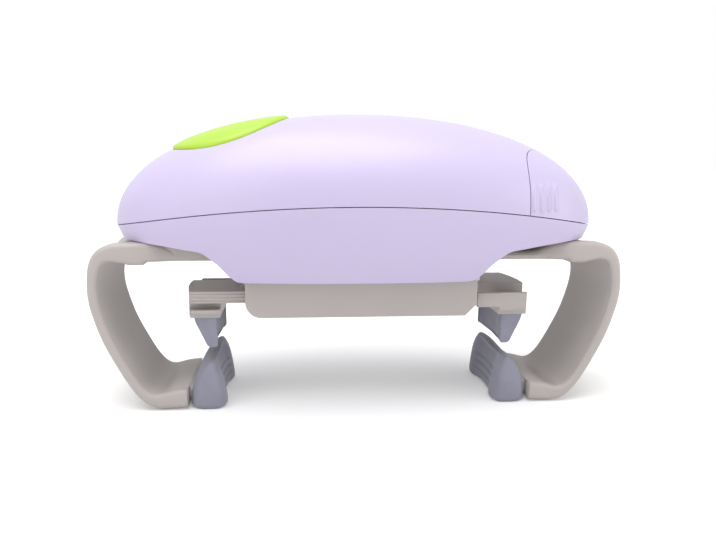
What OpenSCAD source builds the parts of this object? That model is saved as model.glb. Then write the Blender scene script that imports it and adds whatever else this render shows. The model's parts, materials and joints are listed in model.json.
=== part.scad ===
// Electric jar opener that stands on two curved arms, arms and jaws fully open.
// Millimetres, +Z up. Origin: middle of the rest face between the two boots.
// X runs along the body, -Y is the front, the left half (-X) has its rack bars at the front.

/* [Body shell] */
// Length of the body at the parting line
body_len = 188; // [182:1:196]
// Width of the body at the parting line
body_wid = 84; // [80:1:90]
// Height of the crest above the rest face
crest_z = 111.5; // [109:0.5:113]
// Height of the parting line at both ends
end_z = 68.5; // [68:0.5:69.5]
// Rise of the parting line at the middle
part_rise = 10; // [7:0.5:12]
// Wall of both shells
shell_wall = 2.2; // [1.8:0.1:2.4]
// Visible line between two shells
seam_gap = 0.3; // [0.2:0.05:0.4]
// Share of the width that the hub keeps at its lower rim
hub_share = 0.667; // [0.64:0.01:0.72]
// Half length of the hub at its lower rim
hub_half = 44; // [43:0.5:46]

/* [Start button] */
// Radius of the button
button_r = 22.9; // [21:0.1:23.5]
// How far the button stands proud of the shell
button_proud = 1.5; // [1:0.1:2.2]
// Distance of the button from the middle of the body
button_x = 50; // [48:0.5:52]
// Slope of the button's axis
button_tilt = 15.6; // [13:0.2:18]
// Travel of the button
button_travel = 2; // [1.5:0.1:2.2]
// Gap around the button
button_gap = 0.4; // [0.3:0.05:0.5]

/* [Battery cover] */
// Length of the cover along its sides
cover_len = 34; // [33:0.5:35]
// How far the cover's seam sweeps inwards at the crest
seam_top = 14; // [12:0.5:15]
// Room between the cells and the tip of the body
nose_room = 13.3; // [13:0.1:13.6]

/* [Heights and sliding gaps] */
// Lower rim of the hub above the rest face
hub_z = 49.5; // [49:0.5:50.5]
// Gap between sliding faces
slide_gap = 0.3; // [0.25:0.05:0.35]
// Radial gap of a shaft in its hole
shaft_gap = 0.06; // [0.03:0.01:0.1]
// Floor of the hub
floor_t = 2.2; // [2:0.1:2.5]
// Retaining ring of the carriage
ring_t = 1.5; // [1.3:0.1:1.7]
// Arm guide plate
guide_t = 1.3; // [1.2:0.1:1.5]
// Ledge of an arm
ledge_t = 3.9; // [3.7:0.1:4.1]
// Height of an arm's rack bar
arm_bar_h = 4; // [3.8:0.1:4.2]
// Chassis plate
deck_t = 1.9; // [1.8:0.1:2.2]

/* [Arms and boots] */
// Outermost reach of an arm from the middle
arm_reach = 101.2; // [100:0.2:103]
// Width of an arm at its ledge
arm_wid = 38; // [37:0.5:38.5]
// Width of an arm at its foot, and of a boot
foot_wid = 43; // [41:0.5:44]
// Wall of an arm at its side rims
arm_wall = 4; // [3.8:0.1:4.6]
// Depth of the channel between the rims
rim_depth = 1.3; // [1:0.1:1.6]
// Travel of each arm
arm_travel = 24; // [22:0.5:24]
// How far a boot's inner edge is set in from the arm's outermost reach
boot_set = 50.9; // [50.5:0.1:51.2]
// Height of a boot
boot_h = 17.5; // [17:0.1:18.5]
// Depth of the hollow in the boot's gripping face
boot_hollow = 3.2; // [2.6:0.1:3.6]

/* [Carriage and jaws] */
// Half length of the carriage
car_half = 44; // [43:0.5:45]
// Top plate of the carriage
car_t = 3.7; // [3.4:0.1:4]
// Wall of the carriage channel
car_wall = 2; // [1.8:0.1:2.2]
// Width of a jaw holder
jaw_wid = 37.4; // [36.8:0.2:37.6]
// Height of a jaw's rack bar
jaw_bar_h = 4.4; // [4.2:0.1:4.6]
// Thickness of a jaw holder
holder_t = 3.6; // [3.4:0.1:3.8]
// Gripping face of a jaw tooth from the middle
jaw_face = 54.6; // [53.5:0.1:55.5]
// Tip of a jaw tooth above the rest face
tooth_z = 23.2; // [22:0.1:24]
// Travel of each jaw
jaw_travel = 37; // [34:0.5:37]

/* [Gears] */
// Pressure angle of all teeth
press_ang = 25; // [24:0.5:26]
// Module of the rack teeth
rack_m = 1.5; // [1.5:0.1:1.5]
// Teeth of the jaw pinion
jaw_n = 10; // [10:2:10]
// Teeth of the arm pinion
arm_n = 12; // [12:2:12]
// Module of the reduction gears
gear_m = 0.8; // [0.8:0.05:0.8]
// Play between rack and pinion teeth
rack_play = 0.2; // [0.15:0.05:0.3]
// Play between reduction gear teeth
gear_play = 0.14; // [0.1:0.02:0.2]
// Radius of the jaw shaft
shaft_r = 3; // [2.8:0.1:3]

/* [Motor and cells] */
// Diameter of the motor can
motor_d = 20.4; // [20:0.1:20.6]
// Width over the motor's flats
motor_flat = 15.4; // [15:0.1:15.6]
// Length of the motor can
motor_len = 24; // [22.5:0.5:24.5]
// Diameter of a cell
cell_d = 14.5; // [14.2:0.1:14.5]
// Length of a cell
cell_len = 50.5; // [50:0.1:50.5]

/* [Hidden] */
// Curves of the body
hl = body_len/2;
hb = body_wid/2;
hh = crest_z - end_z;
e_len = 2.15;
e_plan = 2.2;
e_cross = 2.05;
bow = 1.6;
lining = shell_wall;
// Heights, from the hub floor up
floor_top = hub_z + floor_t;
ring_bot = floor_top + 0.2;
guide_bot = ring_bot + ring_t + 0.6;
guide_top = guide_bot + guide_t;
ledge_bot = guide_top + slide_gap;
ledge_top = ledge_bot + ledge_t;
abar_bot = ledge_top + slide_gap;
abar_top = abar_bot + arm_bar_h;
deck_bot = abar_top + slide_gap;
deck_top = deck_bot + deck_t;
// Heights, from the hub floor down
car_top = hub_z - slide_gap;
car_ceil = car_top - car_t;
jbar_top = car_ceil - slide_gap;
jbar_bot = jbar_top - jaw_bar_h;
holder_top = jbar_bot - slide_gap;
holder_bot = holder_top - holder_t;
lip_top = holder_bot - slide_gap;
lip_bot = lip_top - 1.2;
rim_bot = holder_bot - 2;
chan_half = jaw_wid/2 + slide_gap;
jaw_root = jaw_n*rack_m/2 + 0.95*rack_m;
arm_root = arm_n*rack_m/2 + 0.95*rack_m;
jaw_bar_out = jaw_wid/2 - 1.8 - slide_gap;
// Gear stack
out_n = 44; p2_n = 11; w2_n = 35; p1_n = 10; w1_n = 36; pm_n = 9;
out_bot = deck_top + 1;
out_t = 4;
w2_bot = out_bot + out_t + 1.1;
w2_t = 2.4;
w1_bot = w2_bot + w2_t + 1;
w1_t = 2.4;
plate_bot = w1_bot + w1_t + 1.1;
plate_t = 1.8;
plate_top = plate_bot + plate_t;
a2 = 135; a1 = 225; am = 315;
g2 = polar((out_n + p2_n)*gear_m/2, a2);
g1 = g2 + polar((w2_n + p1_n)*gear_m/2, a1);
gm = g1 + polar((w1_n + pm_n)*gear_m/2, am);
ph2 = mesh_phase(0, out_n, p2_n, a2);
ph1 = mesh_phase(ph2, w2_n, p1_n, a1);
phm = mesh_phase(ph1, w1_n, pm_n, am);
axle_r = 1.5;
hub_r = 5.5;
pillars = [[-36, -14], [-32.5, 20.5], [4, 26], [2, -22.5]];
post_x = hub_half - 6;
post_y = hb*hub_share - 5;
posts = [for (sx = [-1, 1], sy = [-1, 1]) [sx*post_x, sy*post_y]];
post_r = 2.8;
gusset_low = end_z + part_rise + 1;
gusset_h = 10.5;
guide_posts = [for (sx = [-1, 1], sy = [-1, 1]) [sx*(hub_half - 4.5), sy*(arm_wid/2 - 4)]];
rail_t = 0.8;
rail_in = arm_wid/2 + slide_gap;
// Screws: radius of the thread, and of the hole it cuts in
screw_r = 0.85;
pilot_r = 0.9;
small_r = 0.75;
small_pilot_r = 0.8;
// Cells
cell_x = hl - nose_room - cell_len;
tray_screws = [cell_x + 19.8, cell_x + 39.8];
board_feet = [[-button_x - 5, -11], [-button_x - 5, 11]];
deck_screws = concat(board_feet, [for (x = tray_screws) [x, 0]]);
cell_y = cell_d/2 + 0.35;
cell_z = deck_top + 14.7;
seam_side = hl - cover_len;
rib_low = split_z(seam_side) + 2.6;
rib_h = 8;
// Button frame: x up the slope, y across, z along the button's axis
bc = [-button_x, 0, body_z(-button_x, 0, 0)];
board_w = -22.45;
switch_h = 3.4;
switch_floor = 0.6;
stem_low = board_w + switch_h + button_travel + 0.2;
spring_r = 5.2;

function polar(r, a) = [r*cos(a), r*sin(a)];
function pw(b, e) = b <= 0 ? 0 : pow(b, e);
function mesh_phase(pa, na, nb, th) = th + 180 + 180/nb - (pa - th)*na/nb;
function split_z(x) = end_z + part_rise*(1 - pw(abs(x)/hl, 2));
function crest(x, o) = end_z + (hh - o)*pw(1 - pw(abs(x)/(hl - o), e_len), 1/e_len);
function plan_y(x, o) = (hb - o)*pw(1 - pw(abs(x)/(hl - o), e_plan), 1/e_plan);
// Height of the body surface, o below the outside
function body_z(x, y, o) = split_z(x)
    + (crest(x, o) - split_z(x))*pw(1 - pw(abs(y)/plan_y(x, o), e_cross), 1/e_cross);
// Half width of the body at a height above the parting line
function half_y(x, z, o) = plan_y(x, o)
    *pw(1 - pw((z - split_z(x))/(crest(x, o) - split_z(x)), e_cross), 1/e_cross);
// A point of the arch over x at angle v, o below the outside
function arch(x, v, o) = let (s = split_z(x))
    [x, -plan_y(x, o)*sign(cos(v))*pw(abs(cos(v)), 2/e_cross),
     s + seam_gap/2 + (crest(x, o) - s)*pw(sin(v), 2/e_cross)];
function seam_x(v) = seam_side + seam_top*pw(sin(v), 8);
function ease(t) = 1 - cos(90*t);
// Lower shell: its lower edge, level under the hub and clear of the arm where that is highest
skirt_rise = arm_reach - 34.5;
function rim_z(x) = lookup(abs(x), [[0, hub_z], [hub_half - 3, hub_z], [hub_half, hub_z + 2.5],
    [hub_half + 3, hub_z + 6.8], [hub_half + 9, deck_bot - 2.8], [skirt_rise, deck_bot - 1],
    [arm_reach - 22, deck_bot], [hl, deck_bot]]);
// Plan point on the ring at angle a and height z
function ring_x(a, o) = (hl - o)*sign(cos(a))*pw(abs(cos(a)), 2/e_plan);
function ring_y(a, o) = (hb - o)*sign(sin(a))*pw(abs(sin(a)), 2/e_plan);
function bowl(a, z, o) = let (x = ring_x(a, o), s = split_z(x),
        t = max(0, (s - z)/(s - hub_z)), k = pw(t, bow))
    [x*(1 - 0.1*t*pw(abs(x)/hl, 6)), ring_y(a, o)*(1 - (1 - hub_share)*k)];
function bowl_pt(a, f, o) = let (x = ring_x(a, o), s = split_z(x) - seam_gap/2,
        z = s + (rim_z(x) - s)*f, p = bowl(a, z, o)) [p.x, p.y, z];
function unit2(v) = v/norm(v);
function tang(p, i) = unit2(p[min(i + 1, len(p) - 1)] - p[max(i - 1, 0)]);
// Smooth curve through points, n steps in each span
function smooth(p, n) = concat([for (i = [0:len(p) - 2], k = [0:n - 1])
    let (a = p[max(i - 1, 0)], b = p[i], c = p[i + 1], d = p[min(i + 2, len(p) - 1)], t = k/n)
    0.5*(2*b + (c - a)*t + (2*a - 5*b + 4*c - d)*t*t + (3*b - a - 3*c + d)*t*t*t)],
    [p[len(p) - 1]]);
// Outline with every corner rounded by r
function soft(p, r, n = 5) = [for (i = [0:len(p) - 1])
    let (b = p[i], a = p[(i + len(p) - 1)%len(p)], c = p[(i + 1)%len(p)],
         s = b + r*unit2(a - b), e = b + r*unit2(c - b))
    for (k = [0:n]) let (t = k/n) (1 - t)*(1 - t)*s + 2*t*(1 - t)*b + t*t*e];
function inv(a) = tan(a)*180/PI - a;
// Spur gear outline with short teeth, tooth centres at ph
function gear_pts(n, m, ph, play) = let (r = n*m/2, rb = r*cos(press_ang),
        ra = r + 0.7*m, rf = r - 0.95*m, r0 = max(rb, rf),
        h = (PI*m/2 - play/2)*90/(PI*r) + inv(press_ang), q = 4,
        rr = [for (k = [0:q]) r0 + (ra - r0)*k/q],
        hw = [for (x = rr) h - inv(acos(min(1, rb/x)))])
    [for (i = [0:n - 1]) let (c = ph + 360*i/n)
        each concat([polar(rf, c - hw[0])], [for (k = [0:q]) polar(rr[k], c - hw[k])],
            [for (k = [q:-1:0]) polar(rr[k], c + hw[k])], [polar(rf, c + hw[0])])];
// Rack outline for a pinion at the origin, bar towards -Y between x0 and x1
function rack_pts(n, x0, x1, out) = let (r = n*rack_m/2, p = PI*rack_m, tg = tan(press_ang),
        w = (p/2 - rack_play/2)/2, wt = w - 0.7*rack_m*tg, wr = w + 0.95*rack_m*tg,
        k0 = ceil((x0 + wr)/p - 0.5), k1 = floor((x1 - wr)/p - 0.5))
    concat([[x1, -out], [x1, -r - 0.95*rack_m]],
        [for (k = [k1:-1:k0]) let (c = p*(k + 0.5)) each [[c + wr, -r - 0.95*rack_m],
            [c + wt, -r + 0.7*rack_m], [c - wt, -r + 0.7*rack_m], [c - wr, -r - 0.95*rack_m]]],
        [[x0, -r - 0.95*rack_m], [x0, -out]]);

module slab(y0, y1) translate([0, y1, 0]) rotate([90, 0, 0]) linear_extrude(y1 - y0) children();
module bar(x0, x1, y0, y1, z0, z1) translate([x0, y0, z0]) cube([x1 - x0, y1 - y0, z1 - z0]);
module rod(a, b, r) {
    d = b - a;
    translate(a) rotate([0, acos(d.z/norm(d)), atan2(d.y, d.x)]) cylinder(h = norm(d), r = r);
    translate(a) sphere(r);
    translate(b) sphere(r);
}
module at_button() translate(bc) rotate([0, -button_tilt, 0]) children();
// Closed skin over rows of points that start and end at one point each
module ball_skin(rows, top, low) {
    n = len(rows); k = len(rows[0]);
    polyhedron(points = concat([for (r = rows) each r], [top, low]), faces = concat(
        [for (j = [0:k - 1]) [n*k, (j + 1)%k, j]],
        [for (i = [0:n - 2], j = [0:k - 1]) let (m = (j + 1)%k)
            each [[i*k + j, i*k + m, (i + 1)*k + m], [i*k + j, (i + 1)*k + m, (i + 1)*k + j]]],
        [for (j = [0:k - 1]) [(n - 1)*k + j, (n - 1)*k + (j + 1)%k, n*k + 1]]));
}
// Half shell between an outer and an inner sheet, closed at the tip
module sheet_skin(out, inn, flip) {
    n = len(out); k = len(out[0]); t = 2*n*k;
    q = concat(
        [for (j = [0:k - 2]) [t, j, j + 1]],
        [for (j = [0:k - 2]) [t + 1, n*k + j + 1, n*k + j]],
        [for (i = [0:n - 2], j = [0:k - 2]) each
            [[i*k + j, (i + 1)*k + j, (i + 1)*k + j + 1], [i*k + j, (i + 1)*k + j + 1, i*k + j + 1]]],
        [for (i = [0:n - 2], j = [0:k - 2]) let (o = n*k) each
            [[o + i*k + j, o + (i + 1)*k + j + 1, o + (i + 1)*k + j],
             [o + i*k + j, o + i*k + j + 1, o + (i + 1)*k + j + 1]]],
        [for (i = [0:n - 2]) let (o = n*k) each
            [[i*k, o + i*k, o + (i + 1)*k], [i*k, o + (i + 1)*k, (i + 1)*k]]],
        [for (i = [0:n - 2]) let (o = n*k, a = i*k + k - 1, b = a + k) each
            [[a, b, o + b], [a, o + b, o + a]]],
        [[t, t + 1, n*k], [t, n*k, 0], [t, k - 1, n*k + k - 1], [t, n*k + k - 1, t + 1]],
        [for (j = [0:k - 2]) let (a = (n - 1)*k + j, o = n*k) each
            [[a, o + a, o + a + 1], [a, o + a + 1, a + 1]]]);
    s = flip ? 1 : -1;
    polyhedron(points = concat([for (r = out) each r], [for (r = inn) each r],
        [for (x = [hl, hl - lining]) [s*x, 0, split_z(x) + seam_gap/2]]),
        faces = flip ? q : [for (f = q) [f[2], f[1], f[0]]]);
}
// Ring of closed section loops
module ring_skin(loops) {
    n = len(loops); k = len(loops[0]);
    polyhedron(points = [for (l = loops) each l],
        faces = [for (i = [0:n - 1], j = [0:k - 1]) let (a = (i + 1)%n, b = (j + 1)%k)
            each [[i*k + j, a*k + b, i*k + b], [i*k + j, a*k + j, a*k + b]]]);
}
function shell_rows(o, n) = [for (i = [1:n]) [for (j = [0:24]) let (v = 180*j/24,
    x = -(hl - o) + (seam_x(v) + hl - o)*ease(i/n)) arch(x, v, o)]];
function cover_rows(o, n) = [for (i = [1:n]) [for (j = [0:24]) let (v = 180*j/24,
    x = (hl - o) - (hl - o - seam_x(v) - seam_gap)*ease(i/n)) arch(x, v, o)]];

// Upper shell: domed half with the button hole and four screw posts with gussets
module upper_shell() color("#CFC3E4") difference() {
    union() {
        sheet_skin(shell_rows(0, 20), shell_rows(lining, 20), false);
        for (p = posts) translate([p.x, p.y, deck_top]) cylinder(h = gusset_low + gusset_h + 0.5 - deck_top, r = post_r, $fn = 40);
        for (p = posts) post_gusset(p);
    }
    at_button() translate([0, 0, -16]) cylinder(h = 26, r = button_r + button_gap, $fn = 96);
    for (p = posts) translate([p.x, p.y, deck_top - 1]) cylinder(h = 13, r = 1.25, $fn = 32);
}
module post_gusset(p) {
    s = sign(p.y);
    translate([p.x - 0.8, 0, 0]) rotate([90, 0, 90]) linear_extrude(1.6)
        polygon([[p.y, gusset_low], for (z = [gusset_low, gusset_low + gusset_h])
                 [s*half_y(p.x, z, lining/2), z], [p.y, gusset_low + gusset_h]]);
}
// Lower shell: skirt and funnel-shaped hub with floor, end walls and screw posts
module lower_shell() color("#C9BDE0") difference() {
    union() {
        ring_skin([for (i = [0:71]) let (a = 2.5 + 5*i) concat(
            [for (k = [0:7]) bowl_pt(a, k/7, 0)], [for (k = [7:-1:0]) bowl_pt(a, k/7, lining)])]);
        hub_floor();
        for (s = [-1, 1]) bar(s*(hub_half - 1) - 1, s*(hub_half - 1) + 1,
            -wall_y(), wall_y(), hub_z, guide_bot - 0.1);
        for (p = posts) translate([p.x, p.y, hub_z]) cylinder(h = deck_bot - hub_z, r = post_r, $fn = 40);
        for (p = guide_posts) translate([p.x, p.y, hub_z]) cylinder(h = guide_bot - hub_z, r = 2.4, $fn = 40);
    }
    translate([0, 0, hub_z - 1]) cylinder(h = floor_t + 2, r = 15 + shaft_gap, $fn = 96);
    for (p = posts) translate([p.x, p.y, hub_z - 1]) {
        cylinder(h = 20, r = 1.6, $fn = 32);
        cylinder(h = 3, r = 2.4, $fn = 32);
    }
    for (p = guide_posts) translate([p.x, p.y, floor_top - 1]) cylinder(h = 4, r = 0.9, $fn = 24);
}
function wall_y() = abs(bowl(asin(0.99), hub_z + 1, lining/2).y) - 1.2;
module hub_floor() translate([0, 0, hub_z]) linear_extrude(floor_t)
    polygon([for (s = [-1, 1], x = [-hub_half:4:hub_half]) [s*x, -s*(plan_y(x, lining/2)*hub_share)]]);
// Battery cover: end cap with grip ribs, a tongue and a rib for its contact
module battery_cover() color("#D6CBEA") {
    sheet_skin(cover_rows(0, 12), cover_rows(lining, 12), true);
    for (s = [-1, 1], i = [0:3]) let (x = seam_side + 1.8 + 2.8*i)
        rod(rib_end(x, rib_low, s), rib_end(x, rib_low + rib_h, s), 1, $fn = 12);
    bar(seam_side + seam_top - tongue_len, seam_side + seam_top + 4.5, -tongue_y, tongue_y, tongue_z() - 1.4, tongue_z());
    slab(-1, 1) polygon(concat([[contact_x + contact_t, nose_low + nose_h], [contact_x + contact_t, nose_low]],
        [for (k = [0:3]) let (z = nose_low + nose_h*k/3) [nose_x(z), z]]));
}
tongue_len = 8;
tongue_y = 6;
contact_x = cell_x + cell_len + 0.5;
contact_t = 0.75;
nose_low = split_z(hl) + 2;
nose_h = 9;
// Where the crest line meets a height, half a wall below the outside
function nose_x(z) = (hl - lining/2)*pw(1 - pw((z - end_z)/(hh - lining/2), e_len), 1/e_len);
function rib_end(x, z, s) = [x, s*(half_y(x, z, 0) - 0.5), z];
function tongue_z() = body_z(seam_side + seam_top, tongue_y, lining) - 0.8;
// Bridging contact of the two cells, carried by the cover
module cover_contact() color("#C9CCD0") {
    bar(contact_x, contact_x + contact_t - 0.02, -11.5, 11.5, cell_z - 4.5, cell_z + 2.5);
}
function cap_w(u, v, d) = cap_step(u, v, d, 0, 5);
function cap_step(u, v, d, w, n) = n == 0 ? w + d : let (c = cos(button_tilt), k = sin(button_tilt),
    x = bc.x + u*c - w*k, z = bc.z + u*k + w*c)
    cap_step(u, v, d, w + (body_z(x, v, 0) - z)*c, n - 1);
function cap_ring(r, d) = [for (j = [0:47]) let (a = 7.5*j) [r*cos(a), r*sin(a), cap_w(r*cos(a), r*sin(a), d)]];
function flat_ring(r, w) = [for (j = [0:47]) let (a = 7.5*j) [r*cos(a), r*sin(a), w]];
cap_t = 1.8;
cap_low = -8.6;
lug_half = 3.2;
// Start button: domed cap that follows the shell, with wall, stem and two lugs
module start_button() color("#B5E053") at_button() {
    ball_skin(concat(
        [for (f = [0.25, 0.5, 0.75, 0.9]) cap_ring(button_r*f, button_proud)],
        [cap_ring(button_r - 0.9, button_proud - 0.15), cap_ring(button_r - 0.25, button_proud - 0.6),
         cap_ring(button_r, button_proud - 1.3), flat_ring(button_r, cap_low), flat_ring(button_r - cap_t, cap_low)],
        [for (f = [0.92, 0.75, 0.5, 0.25]) cap_ring((button_r - cap_t)*f, button_proud - cap_t)]),
        [0, 0, cap_w(0, 0, button_proud)], [0, 0, cap_w(0, 0, button_proud - cap_t)]);
    translate([0, 0, stem_low]) cylinder(h = -stem_low - 0.2, r = shaft_r, $fn = 32);
    for (s = [-1, 1]) bar(s*(button_r - 0.4) - 1.4, s*(button_r - 0.4) + 1.4, -lug_half, lug_half, cap_low, cap_low + 1.6);
}
// Return spring of the button
module button_spring() color("#B9BDC2") at_button() {
    turns = 5; n = 12; r = 0.4; low = board_w + r + 0.1; top = button_proud - cap_t - r - 0.4;
    rings = [for (i = [0:turns*n]) let (a = 360*i/n, z = low + (top - low)*i/(turns*n))
        [for (j = [0:5]) [(spring_r + r*cos(60*j))*cos(a), (spring_r + r*cos(60*j))*sin(a), z + r*sin(60*j)]]];
    ball_skin(rings, (rings[0][0] + rings[0][3])/2, (rings[turns*n][0] + rings[turns*n][3])/2);
}
// Push switch under the stem
module push_switch() color("#3A3C40") at_button() difference() {
    bar(-3.1, 3.1, -3.1, 3.1, board_w + 0.02, board_w + switch_h);
    translate([0, 0, board_w + switch_floor]) cylinder(h = switch_h, r = plunger_r + shaft_gap, $fn = 32);
}
plunger_r = 1.7;
plunger_low = board_w + switch_floor + button_travel + 0.5;
module switch_plunger() color("#E8E8E6") at_button()
    translate([0, 0, plunger_low]) cylinder(h = stem_low - plunger_low - 0.02, r = plunger_r, $fn = 32);
module circuit_board() color("#2F6B46") at_button() difference() {
    bar(-16, 7, -14, 14, board_w - 1.6, board_w);
    for (p = board_holes) translate([p.x, p.y, board_w - 2]) cylinder(h = 3, r = small_pilot_r, $fn = 24);
}
board_holes = [for (u = [-14, 5], v = [-12, 12]) [u, v]];
// Driver chip and capacitor on the board
module board_parts() color("#26282C") at_button() {
    bar(-13, -8, -4, 4, board_w + 0.02, board_w + 1.8);
    translate([-10, 9.5, board_w + 0.02]) cylinder(h = 7, r = 2.6, $fn = 32);
}
function shelf_z(x) = bc.z + (board_w - 2.6)/cos(button_tilt) + (x - bc.x)*tan(button_tilt);
// Bracket that holds the board square to the button
module board_bracket() color("#DAD7D2") difference() {
    union() {
        at_button() bar(-17, 8, -15, 15, board_w - 3.5, board_w - 1.62);
        for (p = concat(board_feet, [for (s = [-1, 1]) [3.5 - button_x, s*13.5]]))
            translate([p.x, p.y, deck_top]) cylinder(h = shelf_z(p.x) - deck_top, r = 2.5, $fn = 32);
    }
    for (p = board_feet) translate([p.x, p.y, deck_top - 1]) cylinder(h = 7, r = pilot_r, $fn = 24);
    at_button() for (p = board_holes) translate([p.x, p.y, board_w - 4]) cylinder(h = 3, r = small_pilot_r, $fn = 24);
}
module board_screws() color("#8E9298") at_button()
    for (p = board_holes) translate([p.x, p.y, 0]) {
        translate([0, 0, board_w - 3]) cylinder(h = 3.05, r = small_r, $fn = 24);
        translate([0, 0, board_w + 0.02]) cylinder(h = 0.9, r = 1.5, $fn = 24);
    }

// Chassis plate over the arms; carries the gears, the cells and the board
module chassis_plate() color("#DAD7D2") difference() {
    translate([0, 0, deck_bot]) linear_extrude(deck_t) polygon([for (i = [0:71])
        let (p = bowl(2.5 + 5*i, deck_bot, lining + slide_gap)) [max(-hl + 8, min(hl - 8, p.x)), p.y]]);
    translate([0, 0, deck_bot - 1]) {
        cylinder(h = 5, r = hub_r + shaft_gap, $fn = 96);
        for (p = [g1, g2]) translate(p) cylinder(h = 5, r = axle_r, $fn = 32);
        for (p = posts) translate(p) cylinder(h = 5, r = 1.6, $fn = 32);
        for (p = pillars) translate(p) cylinder(h = 5, r = pilot_r, $fn = 24);
        for (p = deck_screws) translate(p) {
            cylinder(h = 5, r = 1.1, $fn = 24);
            cylinder(h = 2.2, r = 2.1, $fn = 24);
        }
    }
}
// Screws from below the chassis plate into the tray and the board bracket
module chassis_screws() color("#8E9298") for (p = deck_screws) translate([p.x, p.y, deck_bot + 0.1]) {
    cylinder(h = 1, r = 2, $fn = 24);
    cylinder(h = 7, r = screw_r, $fn = 24);
}
plate_pts = [[-41, -18.5], [6.5, -28], [9.5, 31], [-28, 24.8], [-41, 14]];
module gearbox_plate() color("#DAD7D2") translate([0, 0, plate_bot]) difference() {
    linear_extrude(plate_t) polygon(soft(plate_pts, 3));
    translate([0, 0, -1]) {
        for (p = [g1, g2]) translate(p) cylinder(h = 4, r = axle_r, $fn = 32);
        for (p = pillars) translate(p) cylinder(h = 4, r = 1.1, $fn = 24);
        translate(gm) cylinder(h = 4, r = 3.1, $fn = 32);
        for (s = [-1, 1]) translate(gm + polar(7*s, 45)) cylinder(h = 4, r = 1.1, $fn = 24);
        translate([-post_x, post_y, 0]) cylinder(h = 4, r = post_r + 0.6, $fn = 40);
    }
}
module plate_pillars() color("#B9BDC2") for (p = pillars) translate([p.x, p.y, deck_top]) difference() {
    cylinder(h = plate_bot - deck_top, r = 2.2, $fn = 32);
    translate([0, 0, -1]) cylinder(h = plate_bot - deck_top + 2, r = 1.1, $fn = 24);
}
module gearbox_screws() color("#8E9298") for (p = pillars) translate(p) {
    translate([0, 0, deck_bot + 0.2]) cylinder(h = plate_top - deck_bot - 0.1, r = screw_r, $fn = 24);
    translate([0, 0, plate_top]) cylinder(h = 1.2, r = 1.9, $fn = 24);
}
module gear_axles() color("#B9BDC2") for (p = [g1, g2])
    translate([p.x, p.y, deck_bot]) cylinder(h = plate_top - deck_bot, r = axle_r, $fn = 32);
module motor() color("#C4C7CB") translate([gm.x, gm.y, plate_top]) difference() {
    union() {
        intersection() {
            cylinder(h = motor_len, r = motor_d/2, $fn = 64);
            bar(-motor_d, motor_d, -motor_flat/2, motor_flat/2, 0, motor_len);
        }
        translate([0, 0, -1.5]) cylinder(h = 2, r = 3, $fn = 32);
        translate([0, 0, motor_len - 0.5]) cylinder(h = 1.7, r = 3.2, $fn = 32);
        for (s = [-1, 1]) bar(5.5*s - 1.2, 5.5*s + 1.2, 4.6, 5, motor_len - 1, motor_len + 1);
    }
    translate([0, 0, -2]) cylinder(h = motor_len, r = 1 + shaft_gap, $fn = 32);
    for (s = [-1, 1]) translate(concat(polar(7*s, 45), -1)) cylinder(h = 4, r = small_r, $fn = 24);
}
module motor_screws() color("#8E9298") for (s = [-1, 1]) translate(gm + polar(7*s, 45)) {
    translate([0, 0, plate_bot - 1]) cylinder(h = 1, r = 1.7, $fn = 24);
    translate([0, 0, plate_bot - 0.5]) cylinder(h = plate_t + 3, r = 0.7, $fn = 24);
}
// Motor shaft with its pinion
module motor_pinion() color("#C9A45A") translate(gm) {
    translate([0, 0, w1_bot - 0.4]) linear_extrude(w1_t + 0.8) polygon(gear_pts(pm_n, gear_m, phm, gear_play));
    translate([0, 0, w1_bot - 0.6]) cylinder(h = motor_len - 3 + plate_top - w1_bot, r = 1, $fn = 32);
}
module wheel(n, ph, z, t, bore) translate([0, 0, z]) linear_extrude(t) difference() {
    polygon(gear_pts(n, gear_m, ph, gear_play));
    circle(r = bore, $fn = 48);
}
module first_gear() color("#EDEAE2") translate(g1) {
    wheel(w1_n, ph1, w1_bot, w1_t, axle_r + shaft_gap);
    wheel(p1_n, ph1, w2_bot - 0.2, w1_bot - w2_bot + 0.2, axle_r + shaft_gap);
    translate([0, 0, deck_top + 0.2]) linear_extrude(w2_bot - deck_top - 0.4) difference() {
        circle(r = 2.7, $fn = 48);
        circle(r = axle_r + shaft_gap, $fn = 48);
    }
}
module second_gear() color("#EDEAE2") translate(g2) {
    wheel(w2_n, ph2, w2_bot, w2_t, axle_r + shaft_gap);
    wheel(p2_n, ph2, deck_top + 0.2, w2_bot - deck_top - 0.2, axle_r + shaft_gap);
}
// Output gear: drives the jaw clutch above it and the arm clutch below it
module output_gear() color("#EDEAE2") difference() {
    union() {
        translate([0, 0, out_bot]) linear_extrude(out_t) polygon(gear_pts(out_n, gear_m, 0, gear_play));
        translate([0, 0, abar_top + 0.2]) cylinder(h = out_bot - abar_top, r = hub_r, $fn = 96);
    }
    translate([0, 0, abar_top - 1]) cylinder(h = 12, r = shaft_r + shaft_gap, $fn = 48);
    translate([0, 0, out_bot + out_t - 1.6]) difference() {
        cylinder(h = 3, r = 15, $fn = 64);
        translate([0, 0, -1]) cylinder(h = 5, r = 8, $fn = 64);
    }
}
module clutch_disc() color("#5A4636") translate([0, 0, out_bot + out_t + 0.05]) tube(0.8, 6.6, shaft_r + 0.02);
module clutch_spring() color("#B9BDC2") translate([0, 0, out_bot + out_t + 0.9]) rotate_extrude($fn = 48)
    polygon([[shaft_r + 0.02, 0.9], [6.4, 0.02], [6.4, 0.5], [shaft_r + 0.02, 1.35]]);
module clutch_nut() color("#9A9EA4") translate([0, 0, out_bot + out_t + 2.3]) difference() {
    cylinder(h = 3.4, r = 6.2, $fn = 6);
    translate([0, 0, -1]) cylinder(h = 6, r = shaft_r + 0.02, $fn = 48);
}
module tube(h, r, bore) difference() {
    cylinder(h = h, r = r, $fn = 64);
    translate([0, 0, -1]) cylinder(h = h + 2, r = bore, $fn = 48);
}
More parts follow.
